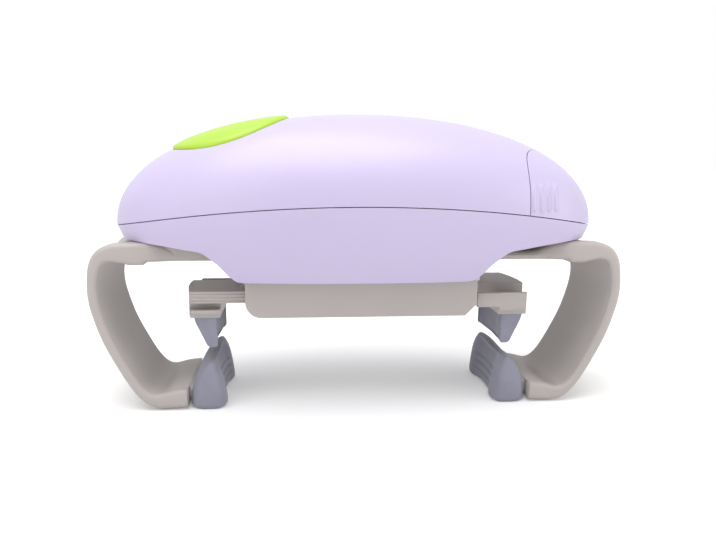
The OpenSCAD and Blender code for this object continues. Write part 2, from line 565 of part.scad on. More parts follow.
module jaw_shaft() color("#B9BDC2") {
    translate([0, 0, holder_top]) cylinder(h = out_bot + out_t + 7 - holder_top, r = shaft_r, $fn = 48);
    translate([0, 0, holder_top - 1]) cylinder(h = 1.2, r = 4.2, $fn = 48);
}
module jaw_pinion() color("#A8ACB2") translate([0, 0, jbar_bot]) linear_extrude(jaw_bar_h) difference() {
    polygon(gear_pts(jaw_n, rack_m, -90, rack_play));
    circle(r = shaft_r + 0.02, $fn = 48);
}
module arm_pinion() color("#A8ACB2") difference() {
    union() {
        translate([0, 0, abar_bot]) linear_extrude(arm_bar_h - 0.5) polygon(gear_pts(arm_n, rack_m, -90, rack_play));
        translate([0, 0, guide_top + 0.2]) cylinder(h = abar_bot - guide_top, r = 7, $fn = 64);
    }
    translate([0, 0, guide_top - 1]) cylinder(h = 12, r = shaft_r + shaft_gap, $fn = 48);
}
module arm_clutch() color("#5A4636") translate([0, 0, abar_top - 0.45]) tube(0.6, 6.5, shaft_r + shaft_gap);
// Channel that the arm ledges slide on
module arm_guide() color("#DAD7D2") difference() {
    union() {
        bar(-hub_half, hub_half, -rail_in - rail_t, rail_in + rail_t, guide_bot, guide_top);
        for (y = [-rail_in - rail_t, rail_in]) bar(-hub_half, hub_half, y, y + rail_t, guide_bot, deck_bot - 1);
    }
    translate([0, 0, guide_bot - 1]) {
        cylinder(h = 4, r = 5, $fn = 48);
        for (p = guide_posts) translate(p) {
            cylinder(h = 4, r = 1.1, $fn = 24);
            translate([0, 0, 1.4]) cylinder(h = 3, r = 2.1, $fn = 24);
        }
    }
}
module guide_screws() color("#8E9298") for (p = guide_posts) translate([p.x, p.y, floor_top]) {
    cylinder(h = guide_bot - floor_top + 0.5, r = screw_r, $fn = 24);
    translate([0, 0, guide_bot - floor_top + 0.42]) cylinder(h = 0.8, r = 2, $fn = 24);
}
module case_screws() color("#8E9298") for (p = posts) translate([p.x, p.y, hub_z]) {
    cylinder(h = deck_top - hub_z + 11.5, r = 1.2, $fn = 32);
    translate([0, 0, 0.6]) cylinder(h = 1.4, r = 2.3, $fn = 32);
}

// Battery tray: cradle for two cells side by side
module battery_tray() color("#33353A") difference() {
    bar(cell_x - 1.7, cell_x + cell_len - 0.6, -2*cell_y - 1.2, 2*cell_y + 1.2, deck_top, cell_z - 1);
    for (s = [-1, 1]) translate([cell_x - 0.6, s*cell_y, cell_z]) rotate([0, 90, 0])
        cylinder(h = cell_len + 2, r = cell_d/2 + 0.15, $fn = 64);
    for (x = tray_screws) {
        bar(x - 10, x + 4, -13, 13, deck_top - 1, cell_z - cell_d/2 - 2);
        translate([x, 0, deck_top - 1]) cylinder(h = 7, r = pilot_r, $fn = 24);
    }
}
module cells() color("#4F7F5A") for (s = [-1, 1]) translate([cell_x, s*cell_y, cell_z]) rotate([0, 90, 0]) {
    cylinder(h = cell_len - 1.4, r = cell_d/2, $fn = 64);
    cylinder(h = cell_len, r = 2.7, $fn = 32);
}
module tray_contacts() color("#C9CCD0") for (s = [-1, 1])
    bar(cell_x - 0.55, cell_x - 0.15, s*cell_y - 4.5, s*cell_y + 4.5, cell_z - 4, cell_z - 1.5);

// Leads from the tray to the motor and the board, run along the shell
lead_x = cell_x - 2.4;
lead_y = hb - 11.5;
lead_z = deck_top + 13;
module red_lead() color("#C23A34") lead([[lead_x, -7.8, lead_z], [lead_x - 2.3, -20, lead_z],
    [14, -lead_y, lead_z], [-6, -lead_y, lead_z + 9.5], [-9, 6.5 - lead_y, lead_z + 23.5]]);
module black_lead() color("#2A2A2C") lead([[lead_x, 7.8, lead_z], [lead_x - 2.3, 22, lead_z],
    [12, lead_y + 1.5, lead_z - 2.5], [-34, lead_y, lead_z - 2.5], [-button_x, 18, lead_z - 2.5]]);
module lead(pts) {
    q = smooth(pts, 4);
    ball_skin([for (i = [0:len(q) - 1]) let (t = tang(q, i), u = unit2(cross(t, [0.3, 0.2, 1])), v = cross(t, u))
        [for (j = [7:-1:0]) q[i] + 0.7*(cos(45*j)*u + sin(45*j)*v)]], q[0], q[len(q) - 1]);
}

// Carriage: channel with hooked lips that turns below the hub
module carriage() color("#B9B0AA") difference() {
    union() {
        bar(-car_half, car_half, -chan_half - car_wall, chan_half + car_wall, car_ceil, car_top);
        for (s = [0, 180]) rotate(s) {
            slab(-chan_half - car_wall, -chan_half) polygon(car_side());
            bar(-car_half + 7, car_half - 6, -chan_half - car_wall, -chan_half + 1.6, lip_bot, lip_top);
        }
        translate([0, 0, car_ceil]) cylinder(h = ring_bot - car_ceil, r = 15, $fn = 96);
    }
    translate([0, 0, car_ceil - 1]) cylinder(h = 12, r = shaft_r + shaft_gap, $fn = 48);
    for (a = [30, 150, 270]) translate(concat(polar(11, a), car_top - 1)) cylinder(h = 5, r = 0.9, $fn = 24);
}
function car_side() = concat([[-car_half, car_top], [-car_half, lip_bot + 6]],
    [for (k = [1:7]) [-car_half + 6, lip_bot + 6] - 6*[cos(k*90/7), sin(k*90/7)]],
    [[car_half - 4.5, lip_bot], [car_half, lip_bot + 4.5], [car_half, car_top]]);
module carriage_ring() color("#B9BDC2") translate([0, 0, ring_bot]) difference() {
    tube(ring_t, 18.5, 5);
    for (a = [30, 150, 270]) translate(concat(polar(11, a), -1)) {
        cylinder(h = 4, r = 1.1, $fn = 24);
        translate([0, 0, 1.7]) cylinder(h = 4, r = 2, $fn = 24);
    }
}
module ring_screws() color("#8E9298") for (a = [30, 150, 270]) translate(concat(polar(11, a), ring_bot)) {
    translate([0, 0, -3]) cylinder(h = 4.2, r = 0.8, $fn = 24);
    translate([0, 0, 0.75]) cylinder(h = 0.8, r = 1.9, $fn = 24);
}

// Jaw in its left place: strip and rack bar at the front, holder, side wall and rim over the pad
jaw_end = jaw_face + 12.4;
holder_in = jaw_face - 0.8;
strip_in = jaw_face - 10.8;
block_in = jaw_face - 7.8;
bar_tip = 9.5;
pad_x = jaw_face + 4;
module jaw_left_form() difference() {
    union() {
        bar(-jaw_end, -holder_in, -jaw_wid/2 + 4.6, jaw_wid/2, holder_bot, holder_top);
        bar(-jaw_end, -block_in, -jaw_root, jaw_root - 1.65*rack_m - slide_gap, holder_top - 0.5, jbar_top);
        bar(-jaw_end, -holder_in, jaw_wid/2 - 1.8, jaw_wid/2, holder_bot, jbar_top - 1.5);
        translate([0, 0, jbar_bot]) linear_extrude(jaw_bar_h)
            polygon(rack_pts(jaw_n, -jaw_travel - 7.5, bar_tip, jaw_bar_out));
        bar(-jaw_end, -strip_in, -jaw_wid/2, -jaw_root, jbar_bot, jbar_top);
        bar(-jaw_end, -holder_in, -jaw_wid/2, jaw_wid/2, holder_bot, holder_bot + 1.2);
        bar(-jaw_end, -holder_in, -tooth_wid/2, tooth_wid/2, rim_bot, holder_bot + 0.5);
    }
    for (z = [0.9, 2.2, 3.5]) translate([-jaw_end - 1, -jaw_wid/2, jbar_bot + z]) rotate([0, 90, 0])
        cylinder(h = jaw_end - strip_in + 2, r = 0.22, $fn = 16);
    difference() {
        bar(-jaw_end - 5, -holder_in, -25, 25, rim_bot - 1, jbar_top + 1);
        translate([0, 0, rim_bot - 2]) cylinder(h = 20, r = jaw_end, $fn = 128);
    }
    for (y = [-7, 7]) translate([-pad_x, y, rim_bot - 1]) cylinder(h = 4, r = 1.5, $fn = 24);
}
module jaw_left() color("#B9B0AA") jaw_left_form();
module jaw_right() color("#B9B0AA") rotate(180) jaw_left_form();
// Tooth pad: rubber wedge below the rim, with a hollow, fluted gripping face
tooth_wid = 2*(chan_half - 1.6) - 2*slide_gap;
tooth_hollow = 1.8;
face_r = (pow(tooth_wid/2, 2) + pow(tooth_hollow, 2))/(2*tooth_hollow);
tooth_side = [[9.2, rim_bot], [8.6, rim_bot - 2.5], [4.4, tooth_z + 0.8], [3.7, tooth_z], [0.8, tooth_z],
    [0, tooth_z + 0.8], [0, rim_bot]];
module tooth_form() difference() {
    union() {
        slab(-tooth_wid/2, tooth_wid/2) polygon([for (p = tooth_side) [-jaw_face - p.x, p.y]]);
        for (y = [-7, 7]) translate([-pad_x, y, rim_bot - 1]) cylinder(h = 3.8, r = 1.48, $fn = 24);
    }
    translate([-jaw_face - tooth_hollow + face_r, 0, tooth_z - 1])
        cylinder(h = rim_bot - tooth_z + 0.5, r = face_r, $fn = 180);
    for (k = [-6:6]) translate([-jaw_face - tooth_hollow + face_r - face_r*cos(k*1.72), face_r*sin(k*1.72), tooth_z - 1])
        cylinder(h = rim_bot - tooth_z - 2, r = 0.45, $fn = 16);
}
module jaw_left_pad() color("#7E7F8D") tooth_form();
module jaw_right_pad() color("#7E7F8D") rotate(180) tooth_form();

// Height of an arm's end as a share of the height of its top
end_lift = 0.016;
// Arm in its left place, from the ledge round the bend to the tongue in the boot
arm_line = smooth([for (p = [[-15.2, 1], [-9.7, 0.986], [-5, 0.932], [-1.8, 0.858], [0, 0.752],
    [-0.4, 0.649], [-2.4, 0.533], [-5.3, 0.401], [-9.8, 0.254], [-14.6, 0.125], [-18.9, 0.047],
    [-23.5, 0.012], [-29.4, 0.01], [-34.8, end_lift]]) [arm_reach + p.x, p.y*abar_top]], 4);
arm_n_pts = len(arm_line);
function arm_thick(i) = arm_wall + (abar_top - ledge_bot - arm_wall)*pw(max(0, 1 - i/17), 1.3);
function arm_inner(cut) = [for (i = [0:arm_n_pts - 1]) let (t = tang(arm_line, i))
    arm_line[i] + (arm_thick(i) - cut*min(1, i/10))*[t.y, -t.x]];
function arm_profile(cut) = let (q = arm_inner(cut)) concat(
    [[-ledge_in, ledge_bot]], [for (p = q) [-p.x, p.y]],
    [for (i = [arm_n_pts - 1:-1:0]) [-arm_line[i].x, arm_line[i].y]],
    [[-arm_reach + 24, abar_top], [-arm_reach + 35, ledge_top], [-ledge_in, ledge_top]]);
ledge_in = arm_travel + 21;
arm_tip = 10;
boot_in = arm_reach - boot_set;
boot_out = boot_in + 15.8;
foot_h = 14;
waist_h = 48;
// Outline of the arm seen from its end: right half as [half width, height], from the table up
end_view = [[foot_wid/2, -1], [foot_wid/2, foot_h], [arm_wid/2, waist_h], [arm_wid/2, abar_top + 10]];
module arm_left_form() {
    slab(-arm_wid/2 + 2.6, arm_wid/2 - 2.6) polygon(arm_profile(rim_depth));
    intersection() {
        for (y = [-foot_wid/2, arm_wid/2 - 2.6]) slab(y, y + (foot_wid - arm_wid)/2 + 2.6) polygon(arm_profile(0));
        translate([-arm_reach - 1, 0, 0]) rotate([90, 0, 90]) linear_extrude(arm_reach)
            polygon(concat(end_view, [for (i = [len(end_view) - 1:-1:0]) [-end_view[i].x, end_view[i].y]]));
    }
    translate([0, 0, abar_bot]) linear_extrude(arm_bar_h)
        polygon(rack_pts(arm_n, -ledge_in - 14, arm_tip, arm_wid/2));
    bar(-arm_reach + 18, -ledge_in, -arm_wid/2, -arm_root, ledge_top - 0.5, abar_top);
    bar(-boot_out - 1, -boot_in - 6, -tongue_half, tongue_half, 2.2, tongue_top);
    bar(-boot_in - 10, -boot_in - 6, -tongue_half, tongue_half, 2.2, boot_h - 5);
}
tongue_half = arm_wid/2 - 4.5;
tongue_top = end_lift*abar_top + arm_wall - 0.2;
module arm_left() color("#B7ADA8") arm_left_form();
module arm_right() color("#B7ADA8") rotate(180) arm_left_form();
// Rubber boot: leaning wedge with a hollow gripping face, grip grooves and rounded ends
hollow_r = (pow(foot_wid/2, 2) + pow(boot_hollow, 2))/(2*boot_hollow);
boot_side = [[1.6, 0], [0.3, 1.2], [0, 3], [0.6, 7], [1.6, 11.5], [3, 15.2], [4.6, 17.2], [6.2, 18], [8.4, 17.4],
    [10.8, 14.6], [13, 10.5], [14.8, 6.5], [15.8, 3], [15.5, 1.2], [14.2, 0]];
module boot_form() difference() {
    intersection() {
        linear_extrude(boot_h) polygon(soft([[-boot_out, -foot_wid/2], [-boot_in, -foot_wid/2],
            [-boot_in, foot_wid/2], [-boot_out, foot_wid/2]], 3.5));
        slab(-foot_wid, foot_wid) polygon([for (p = boot_side) [-boot_in - p.x, p.y*boot_h/18]]);
    }
    translate([-boot_in - boot_hollow + hollow_r, 0, -1]) {
        cylinder(h = boot_h + 2, r = hollow_r, $fn = 180);
        for (z = [4.5, 7.5, 10.5]) translate([0, 0, z]) rotate_extrude($fn = 180)
            translate([hollow_r, 0]) circle(r = 0.6, $fn = 16);
    }
    bar(-boot_out - 1, -boot_in - 6 + 0.1, -tongue_half - 0.1, tongue_half + 0.1, 2.1, tongue_top + 0.1);
    bar(-boot_in - 10.1, -boot_in - 5.9, -tongue_half - 0.1, tongue_half + 0.1, 2.1, boot_h - 4.9);
}
module boot_left() color("#7E7F8D") boot_form();
module boot_right() color("#7E7F8D") rotate(180) boot_form();

// Which sub-part to build, or all of them

upper_shell();
lower_shell();
battery_cover();
cover_contact();
start_button();
button_spring();
push_switch();
switch_plunger();
circuit_board();
board_parts();
board_bracket();
board_screws();
chassis_plate();
chassis_screws();
gearbox_plate();
plate_pillars();
gearbox_screws();
gear_axles();
motor();
motor_screws();
motor_pinion();
first_gear();
second_gear();
output_gear();
clutch_disc();
clutch_spring();
clutch_nut();
jaw_shaft();
jaw_pinion();
arm_pinion();
arm_clutch();
arm_guide();
guide_screws();
case_screws();
battery_tray();
cells();
tray_contacts();
red_lead();
black_lead();
carriage();
carriage_ring();
ring_screws();
jaw_left();
jaw_right();
jaw_left_pad();
jaw_right_pad();
arm_left();
arm_right();
boot_left();
boot_right();
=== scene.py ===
# %% [markdown]
# # An electric jar opener, piece by piece
# The imported model gives the frame: every CAD node sits where it belongs.
# This file dresses it. The large moulded forms are computed again as smooth surfaces, and the small
# inner parts keep their CAD shape and get a finish. All the shapes below are written in millimetres.

# %% Load the frame
import bpy
import bmesh
import json
import math
import numpy as np
from mathutils import Matrix


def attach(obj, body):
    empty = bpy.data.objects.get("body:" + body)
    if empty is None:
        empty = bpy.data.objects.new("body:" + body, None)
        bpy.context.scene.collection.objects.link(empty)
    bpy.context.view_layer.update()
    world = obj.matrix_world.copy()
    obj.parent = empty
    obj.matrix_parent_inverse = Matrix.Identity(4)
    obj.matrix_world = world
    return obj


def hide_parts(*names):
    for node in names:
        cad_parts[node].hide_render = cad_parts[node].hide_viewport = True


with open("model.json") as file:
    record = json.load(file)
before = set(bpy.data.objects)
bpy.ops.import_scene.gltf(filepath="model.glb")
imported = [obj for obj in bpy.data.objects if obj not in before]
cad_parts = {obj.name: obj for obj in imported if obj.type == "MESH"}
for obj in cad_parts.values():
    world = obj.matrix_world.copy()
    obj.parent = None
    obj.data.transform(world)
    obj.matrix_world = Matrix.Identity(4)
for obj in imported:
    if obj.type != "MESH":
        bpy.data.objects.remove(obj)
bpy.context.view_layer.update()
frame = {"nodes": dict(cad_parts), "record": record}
nodes = frame["nodes"]

# %% [markdown]
# ## Colours and materials
# A colour is picked as sRGB hex, the way a paint chart or a photo editor shows it. The shader works in
# linear light, so one function converts it. A second small function adds one node to a material with its
# settings and links, which keeps each recipe short enough to read at a glance.

# %% Colour and node helpers
def linear(code):
    """sRGB hex to linear RGBA: c/12.92 below 0.04045, else ((c + 0.055)/1.055)^2.4."""
    c = np.array([int(code[i:i + 2], 16) for i in (1, 3, 5)]) / 255
    c = np.where(c <= 0.04045, c / 12.92, ((c + 0.055) / 1.055) ** 2.4)
    return (*c.tolist(), 1.0)


def add(tree, kind, values=None, links=None, **settings):
    """Adds a node of a kind: settings are its properties, values its inputs, links its inputs' sources."""
    n = tree.nodes.new(kind)
    for k, v in settings.items():
        setattr(n, k, v)
    for k, v in (values or {}).items():
        n.inputs[k].default_value = v
    for k, (src, out) in (links or {}).items():
        tree.links.new(src.outputs[out], n.inputs[k])
    return n


def start(name, base, **sockets):
    """A new material with a Principled shader: returns (material, tree, shader)."""
    m = bpy.data.materials.new(name)
    m.use_nodes = True
    t = m.node_tree
    p = t.nodes["Principled BSDF"]
    p.inputs["Base Color"].default_value = linear(base)
    for k, v in sockets.items():
        p.inputs[k.replace("_", " ")].default_value = v
    m.diffuse_color = linear(base)
    return m, t, p


MM = 1000.0
print("lilac in linear light:", [round(c, 3) for c in linear("#CBC1E0")])

# %% [markdown]
# ### Moulded plastic
# The lilac shells, the green button and the warm grey arms are injection moulded. ABS leaves the mould with a
# fine satin texture: the highlights stay soft, and at arm's length the texture reads only as a slightly uneven
# gloss. A noise with a grain of a few tenths of a millimetre drives a faint bump, and a second, slow noise
# varies the roughness over some centimetres as handling and flow lines do.

# %% Moulded plastic recipe
FLOW_MM, FINE_DEPTH = 40, 0.00006  # size of the slow colour drift in mm, depth of the grain in metres


def moulded(name, base, tint, rough, grain_mm, bump, coat=0.0):
    """Moulded plastic: base mixed with tint by a slow noise of FLOW_MM, bump from a noise of grain_mm."""
    m, t, p = start(name, base, Roughness=rough, IOR=1.53, Coat_Weight=coat)
    p.inputs["Coat Roughness"].default_value = 0.25
    at = add(t, "ShaderNodeTexCoord")
    slow = add(t, "ShaderNodeTexNoise", {"Scale": MM / FLOW_MM, "Detail": 2.0}, {"Vector": (at, "Object")})
    mix = add(t, "ShaderNodeMix", {"A": linear(base), "B": linear(tint)}, {"Factor": (slow, "Fac")},
              data_type="RGBA")
    t.links.new(mix.outputs["Result"], p.inputs["Base Color"])
    gloss = add(t, "ShaderNodeMapRange", {"To Min": rough - 0.04, "To Max": rough + 0.06},
                {"Value": (slow, "Fac")})
    t.links.new(gloss.outputs["Result"], p.inputs["Roughness"])
    fine = add(t, "ShaderNodeTexNoise", {"Scale": MM / grain_mm, "Detail": 3.0}, {"Vector": (at, "Object")})
    relief = add(t, "ShaderNodeBump", {"Strength": bump, "Distance": FINE_DEPTH}, {"Height": (fine, "Fac")})
    t.links.new(relief.outputs["Normal"], p.inputs["Normal"])
    return m


# Lilac shells: a wide soft highlight on the crown, with a thin clear lustre from the polished mould
lilac_abs = moulded("satin moulded ABS, lilac", "#CBC1E0", "#C6BBDC", 0.4, 0.9, 0.25, 0.08)
# Lime button: the one bright spot, as satin as the shell, so that colour alone sets it apart
lime_abs = moulded("satin moulded ABS, lime", "#B0D541", "#A9CE38", 0.42, 0.9, 0.2, 0.05)
# Warm grey arms, jaws and carriage: a drier, slightly grained skin that hides scratches
grey_abs = moulded("textured moulded ABS, warm grey", "#B7B0AD", "#B0A9A5", 0.46, 0.7, 0.4)
# Unpainted nylon inside: creamy and half matt, so the inside stays pale and quiet
inner_abs = moulded("natural moulded nylon", "#DAD7CF", "#D2CEC4", 0.5, 0.8, 0.3)
# Black plastic of the switch and the chips: a dark accent with a grey sheen
black_abs = moulded("black moulded ABS", "#2C2D30", "#27282B", 0.45, 0.8, 0.3)
print("plastics:", [m.name for m in (lilac_abs, lime_abs, grey_abs, inner_abs, black_abs)])

# %% [markdown]
# ### Rubber
# The boots and the jaw teeth are soft moulded rubber. It has no clear highlight, picks up a little dust and
# shows a fine matt grain, so the roughness is high and the bump coarser than on the plastic. A low sheen
# stands for the dusty bloom at grazing angles.

# %% Rubber recipe
DUST_MM, MATT_MM, MATT_DEPTH = 12, 0.8, 0.0001  # dust patches and matt grain in mm, grain depth in metres


def moulded_rubber(name, base, dusty):
    """Matt rubber: base with a dusty tint in a noise of DUST_MM, a grain of MATT_MM and a low sheen."""
    m, t, p = start(name, base, Roughness=0.72, IOR=1.5)
    p.inputs["Sheen Weight"].default_value = 0.15
    p.inputs["Sheen Roughness"].default_value = 0.5
    at = add(t, "ShaderNodeTexCoord")
    dust = add(t, "ShaderNodeTexNoise", {"Scale": MM / DUST_MM, "Detail": 4.0, "Roughness": 0.6},
               {"Vector": (at, "Object")})
    ramp = add(t, "ShaderNodeMapRange", {"From Min": 0.35, "From Max": 0.75}, {"Value": (dust, "Fac")})
    mix = add(t, "ShaderNodeMix", {"A": linear(base), "B": linear(dusty)}, {"Factor": (ramp, "Result")},
              data_type="RGBA")
    t.links.new(mix.outputs["Result"], p.inputs["Base Color"])
    fine = add(t, "ShaderNodeTexNoise", {"Scale": MM / MATT_MM, "Detail": 3.0}, {"Vector": (at, "Object")})
    relief = add(t, "ShaderNodeBump", {"Strength": 0.5, "Distance": MATT_DEPTH}, {"Height": (fine, "Fac")})
    t.links.new(relief.outputs["Normal"], p.inputs["Normal"])
    return m


# Blue-grey grips: a dull skin without a highlight, which reads as soft next to the satin arms
blue_rubber = moulded_rubber("matt moulded rubber, blue grey", "#868694", "#9090A0")
print("rubber:", blue_rubber.name)

# %% [markdown]
# ### Metal, board and the rest of the inside
# The hidden parts are seen only when the battery cover is off or from below, but they get real finishes too.
# Plain steel is slightly brushed: a noise stretched along one axis gives the drawn grain.

# %% Metal and inner finishes
DRAWN_MM, DRAWN_RATIO, DRAWN_DEPTH = 6, 12, 0.00005  # grain length in mm, length to width, depth in metres


def drawn_metal(name, base, rough):
    """Metal with a drawn grain: a noise of DRAWN_MM, squeezed DRAWN_RATIO times along Z, in gloss and bump."""
    m, t, p = start(name, base, Roughness=rough, Metallic=1.0)
    at = add(t, "ShaderNodeTexCoord")
    turn = add(t, "ShaderNodeMapping", {"Scale": (1, 1, DRAWN_RATIO)}, {"Vector": (at, "Object")})
    grain = add(t, "ShaderNodeTexNoise", {"Scale": MM / DRAWN_MM, "Detail": 4.0}, {"Vector": (turn, "Vector")})
    gloss = add(t, "ShaderNodeMapRange", {"To Min": rough - 0.07, "To Max": rough + 0.09},
                {"Value": (grain, "Fac")})
    t.links.new(gloss.outputs["Result"], p.inputs["Roughness"])
    relief = add(t, "ShaderNodeBump", {"Strength": 0.2, "Distance": DRAWN_DEPTH}, {"Height": (grain, "Fac")})
    t.links.new(relief.outputs["Normal"], p.inputs["Normal"])
    return m


# Zinc-plated steel: cool grey with streaked reflections on screws, shafts and contacts
steel = drawn_metal("zinc-plated steel", "#BFC2C6", 0.32)
# Brass: a warm yellow gleam on the small pinion
brass = drawn_metal("turned brass", "#CBA65C", 0.28)
# Circuit board: deep green under a clear glossy film
board_green = moulded("solder mask over glass epoxy", "#2F6B46", "#2A6340", 0.3, 0.6, 0.2, 0.3)
# AA cells: a tight bright line along the lacquered sleeve
cell_sleeve = moulded("lacquered steel sleeve, green", "#4F7F5A", "#4A7855", 0.25, 1.5, 0.1, 0.5)
# Lead: plain red insulation with a soft shine
wire_red = moulded("red wire insulation", "#C23A34", "#B8342F", 0.4, 0.8, 0.2)
# Clutch disc: dry brown pressed fibre, fully matt
fibre = moulded("pressed friction fibre", "#5A4636", "#4E3C2E", 0.8, 0.5, 0.6)
finishes = {"shell": lilac_abs, "button": lime_abs, "grey": grey_abs, "rubber": blue_rubber,
            "inner": inner_abs, "black": black_abs, "steel": steel, "brass": brass, "pcb": board_green,
            "cell": cell_sleeve, "red": wire_red, "fibre": fibre}
for part in frame["record"]["subparts"]:
    mesh = nodes[part["node"]].data
    mesh.materials.clear()
    mesh.materials.append(finishes[part["material_slot"]])

# %% [markdown]
# ## From arrays to a mesh
# Each new piece is a set of patches. A patch is a grid of points, rows by columns, and its faces join each
# point to its neighbours. Patches that share an edge have the same points there, so merging doubles closes
# the piece, and the normals are then recalculated to point outwards. The mesh is stored in metres.

# %% Patches and pieces
def quads(rows, cols, wrap_r=False, wrap_c=False, keep=None):
    """Indices of the quads of a rows x cols grid, wrapped where asked; keep masks them by (row, col)."""
    i, j = np.meshgrid(np.arange(rows if wrap_r else rows - 1), np.arange(cols if wrap_c else cols - 1),
                       indexing="ij")
    if keep is not None:
        i, j = i[keep], j[keep]
    a, b = (i + 1) % rows, (j + 1) % cols
    return np.stack([i * cols + j, a * cols + j, a * cols + b, i * cols + b], -1).reshape(-1, 4)


def patch(grid, wrap_r=False, wrap_c=False, keep=None):
    """(points, quads) of a grid of shape rows x cols x 3."""
    r, c = grid.shape[:2]
    return grid.reshape(-1, 3), quads(r, c, wrap_r, wrap_c, keep)


MERGE, SPECK = 2e-6, 1e-7  # metres: points closer than MERGE are one, faces thinner than SPECK go
BEVEL_FROM = math.radians(50)


def piece(name, patches, body, material, old=(), bevel=0.0, angle=38):
    """Joins patches into one closed mesh and rides it on its body.

    Doubles are merged and normals turned out; edges sharper than angle degrees stay crisp, and bevel is
    the width in mm of the small edge rounding. The CAD nodes in old are the ones it stands for.
    """
    pts, faces, n = [], [], 0
    for p, q in patches:
        pts.append(p)
        faces.append(q + n)
        n += len(p)
    pts, faces = np.concatenate(pts) / MM, np.concatenate(faces)
    me = bpy.data.meshes.new(name)
    me.from_pydata(pts.tolist(), [], faces.tolist())
    bm = bmesh.new()
    bm.from_mesh(me)
    bmesh.ops.remove_doubles(bm, verts=bm.verts, dist=MERGE)
    bmesh.ops.dissolve_degenerate(bm, dist=SPECK, edges=bm.edges)
    bmesh.ops.recalc_face_normals(bm, faces=bm.faces)
    bm.to_mesh(me)
    open_edges = sum(1 for e in bm.edges if not e.is_manifold)
    bm.free()
    me.polygons.foreach_set("use_smooth", np.ones(len(me.polygons), bool))
    me.set_sharp_from_angle(angle=math.radians(angle))
    ob = bpy.data.objects.new(name, me)
    bpy.context.scene.collection.objects.link(ob)
    if bevel:
        mod = ob.modifiers.new("soft edges", "BEVEL")
        mod.width, mod.segments, mod.limit_method = bevel / MM, 2, "ANGLE"
        mod.angle_limit, mod.harden_normals = BEVEL_FROM, True
    me.materials.append(material)
    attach(ob, body)
    if old:
        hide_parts(*old)
    print(f"{name}: {len(me.vertices)} points, {len(me.polygons)} faces, {open_edges} open edges")


def capped(grid):
    """The grid with one more row at each end, drawn together in the mean of its neighbour: a closed pole."""
    first, last = [row.mean(1, keepdims=True) + 0 * row for row in (grid[:1], grid[-1:])]
    return np.concatenate([first, grid, last])


def rim_strips(out, inn):
    """Strips that join an outer and an inner sheet along both long sides and the last row."""
    pairs = [(out[:, 0], inn[:, 0]), (out[:, -1], inn[:, -1]), (out[-1], inn[-1])]
    return [patch(np.stack(pair)) for pair in pairs]


def around(n):
    """n equal angles, once round."""
    return np.linspace(0, 2 * math.pi, n, endpoint=False)


def lerp(a, b, t):
    """a moved towards b by the share t."""
    return a + (b - a) * t


def smoothstep(t):
    """0 to 1 with flat ends: 3t^2 - 2t^3."""
    t = np.clip(t, 0, 1)
    return t * t * (3 - 2 * t)


# %% [markdown]
# ## The body as one formula
# Seen from above the body is a superellipse, and so is each cross-section over the arched parting line.
# With the plan y(x), the crest z(x) and the parting line s(x), every shell is a strip of the same surface:
# z = s + (crest - s) (1 - |y/plan|^q)^(1/q). The offset o moves the surface inwards for the inner wall.

# %% Body surface
HL, HB, TOP = 93.5, 41.97, 111.15  # half length, half width and crest height of the body
END, RISE = 69.1, 9.4  # height of the parting line at the tips and its arch over the middle
WALL, SEAM = 2.2, 0.3  # wall of the shells and the gap at every parting line
E_LEN, E_PLAN, E_CROSS = 2.13, 2.08, 2.17  # powers of the superellipses along, in plan and across
COVER_SIDE, COVER_SWEEP, SWEEP_POWER = 59, 13, 8  # cover seam: x on the sides, sweep at the crest, sharpness


def power(b, e):
    """b^e, or 0 where b is not positive."""
    return np.where(b > 0, np.maximum(b, 1e-12) ** e, 0.0)


def signed(b, e):
    """|b|^e with the sign of b."""
    return np.sign(b) * power(np.abs(b), e)


def split(x):
    """Height of the parting line: END + RISE (1 - (x/HL)^2)."""
    return END + RISE * (1 - (np.abs(x) / HL) ** 2)


def crest(x, o=0.0):
    """Height of the crest line, a superellipse of power E_LEN over the ends."""
    return END + (TOP - END - o) * power(1 - power(np.abs(x) / (HL - o), E_LEN), 1 / E_LEN)


def plan(x, o=0.0):
    """Half width in plan, a superellipse of power E_PLAN."""
    return (HB - o) * power(1 - power(np.abs(x) / (HL - o), E_PLAN), 1 / E_PLAN)


def body_z(x, y, o=0.0):
    """Height of the body over the plan point x, y."""
    s, b = split(x), np.maximum(plan(x, o), 1e-6)
    return s + (crest(x, o) - s) * power(1 - power(np.abs(y) / b, E_CROSS), 1 / E_CROSS)


def arch(x, v, o=0.0):
    """Point of the arch over x at angle v: 0 is the front edge, pi the back edge."""
    s, c = split(x), np.cos(v)
    y = -plan(x, o) * signed(c, 2 / E_CROSS)
    return np.stack([x + 0 * v, y, s + SEAM / 2 + (crest(x, o) - s) * power(np.sin(v), 2 / E_CROSS)], -1)


def seam_x(v):
    """Where the battery cover meets the shell: upright on the sides, swept towards the tip at the crest."""
    return COVER_SIDE + COVER_SWEEP * power(np.sin(v), SWEEP_POWER)


print("body height over the middle:", float(body_z(np.array(0.0), 0.0)))

# %% [markdown]
# ## Start button frame
# The button sits on the falling left shoulder, so its axis leans by 15.6 degrees. A point is written as u up
# the slope, v across and w along that axis. The height w of the body surface has no closed form here, so it
# is found by a few fixed-point steps, all points at once.

# %% Button frame
TILT = math.radians(15.6)
BX, BR = -50.0, 22.9  # middle and radius of the button
HOLE_R = BR + 0.4  # radius of its hole in the shell
SETTLE = 6  # fixed-point steps for a height above the body
BZ = float(body_z(np.array(BX), 0.0))


def lean(u, v, w):
    """Point of the shared frame at button coordinates: the u axis climbs towards the middle of the body."""
    return np.stack([BX + u * math.cos(TILT) - w * math.sin(TILT), v + 0 * u,
                     BZ + u * math.sin(TILT) + w * math.cos(TILT)], -1)


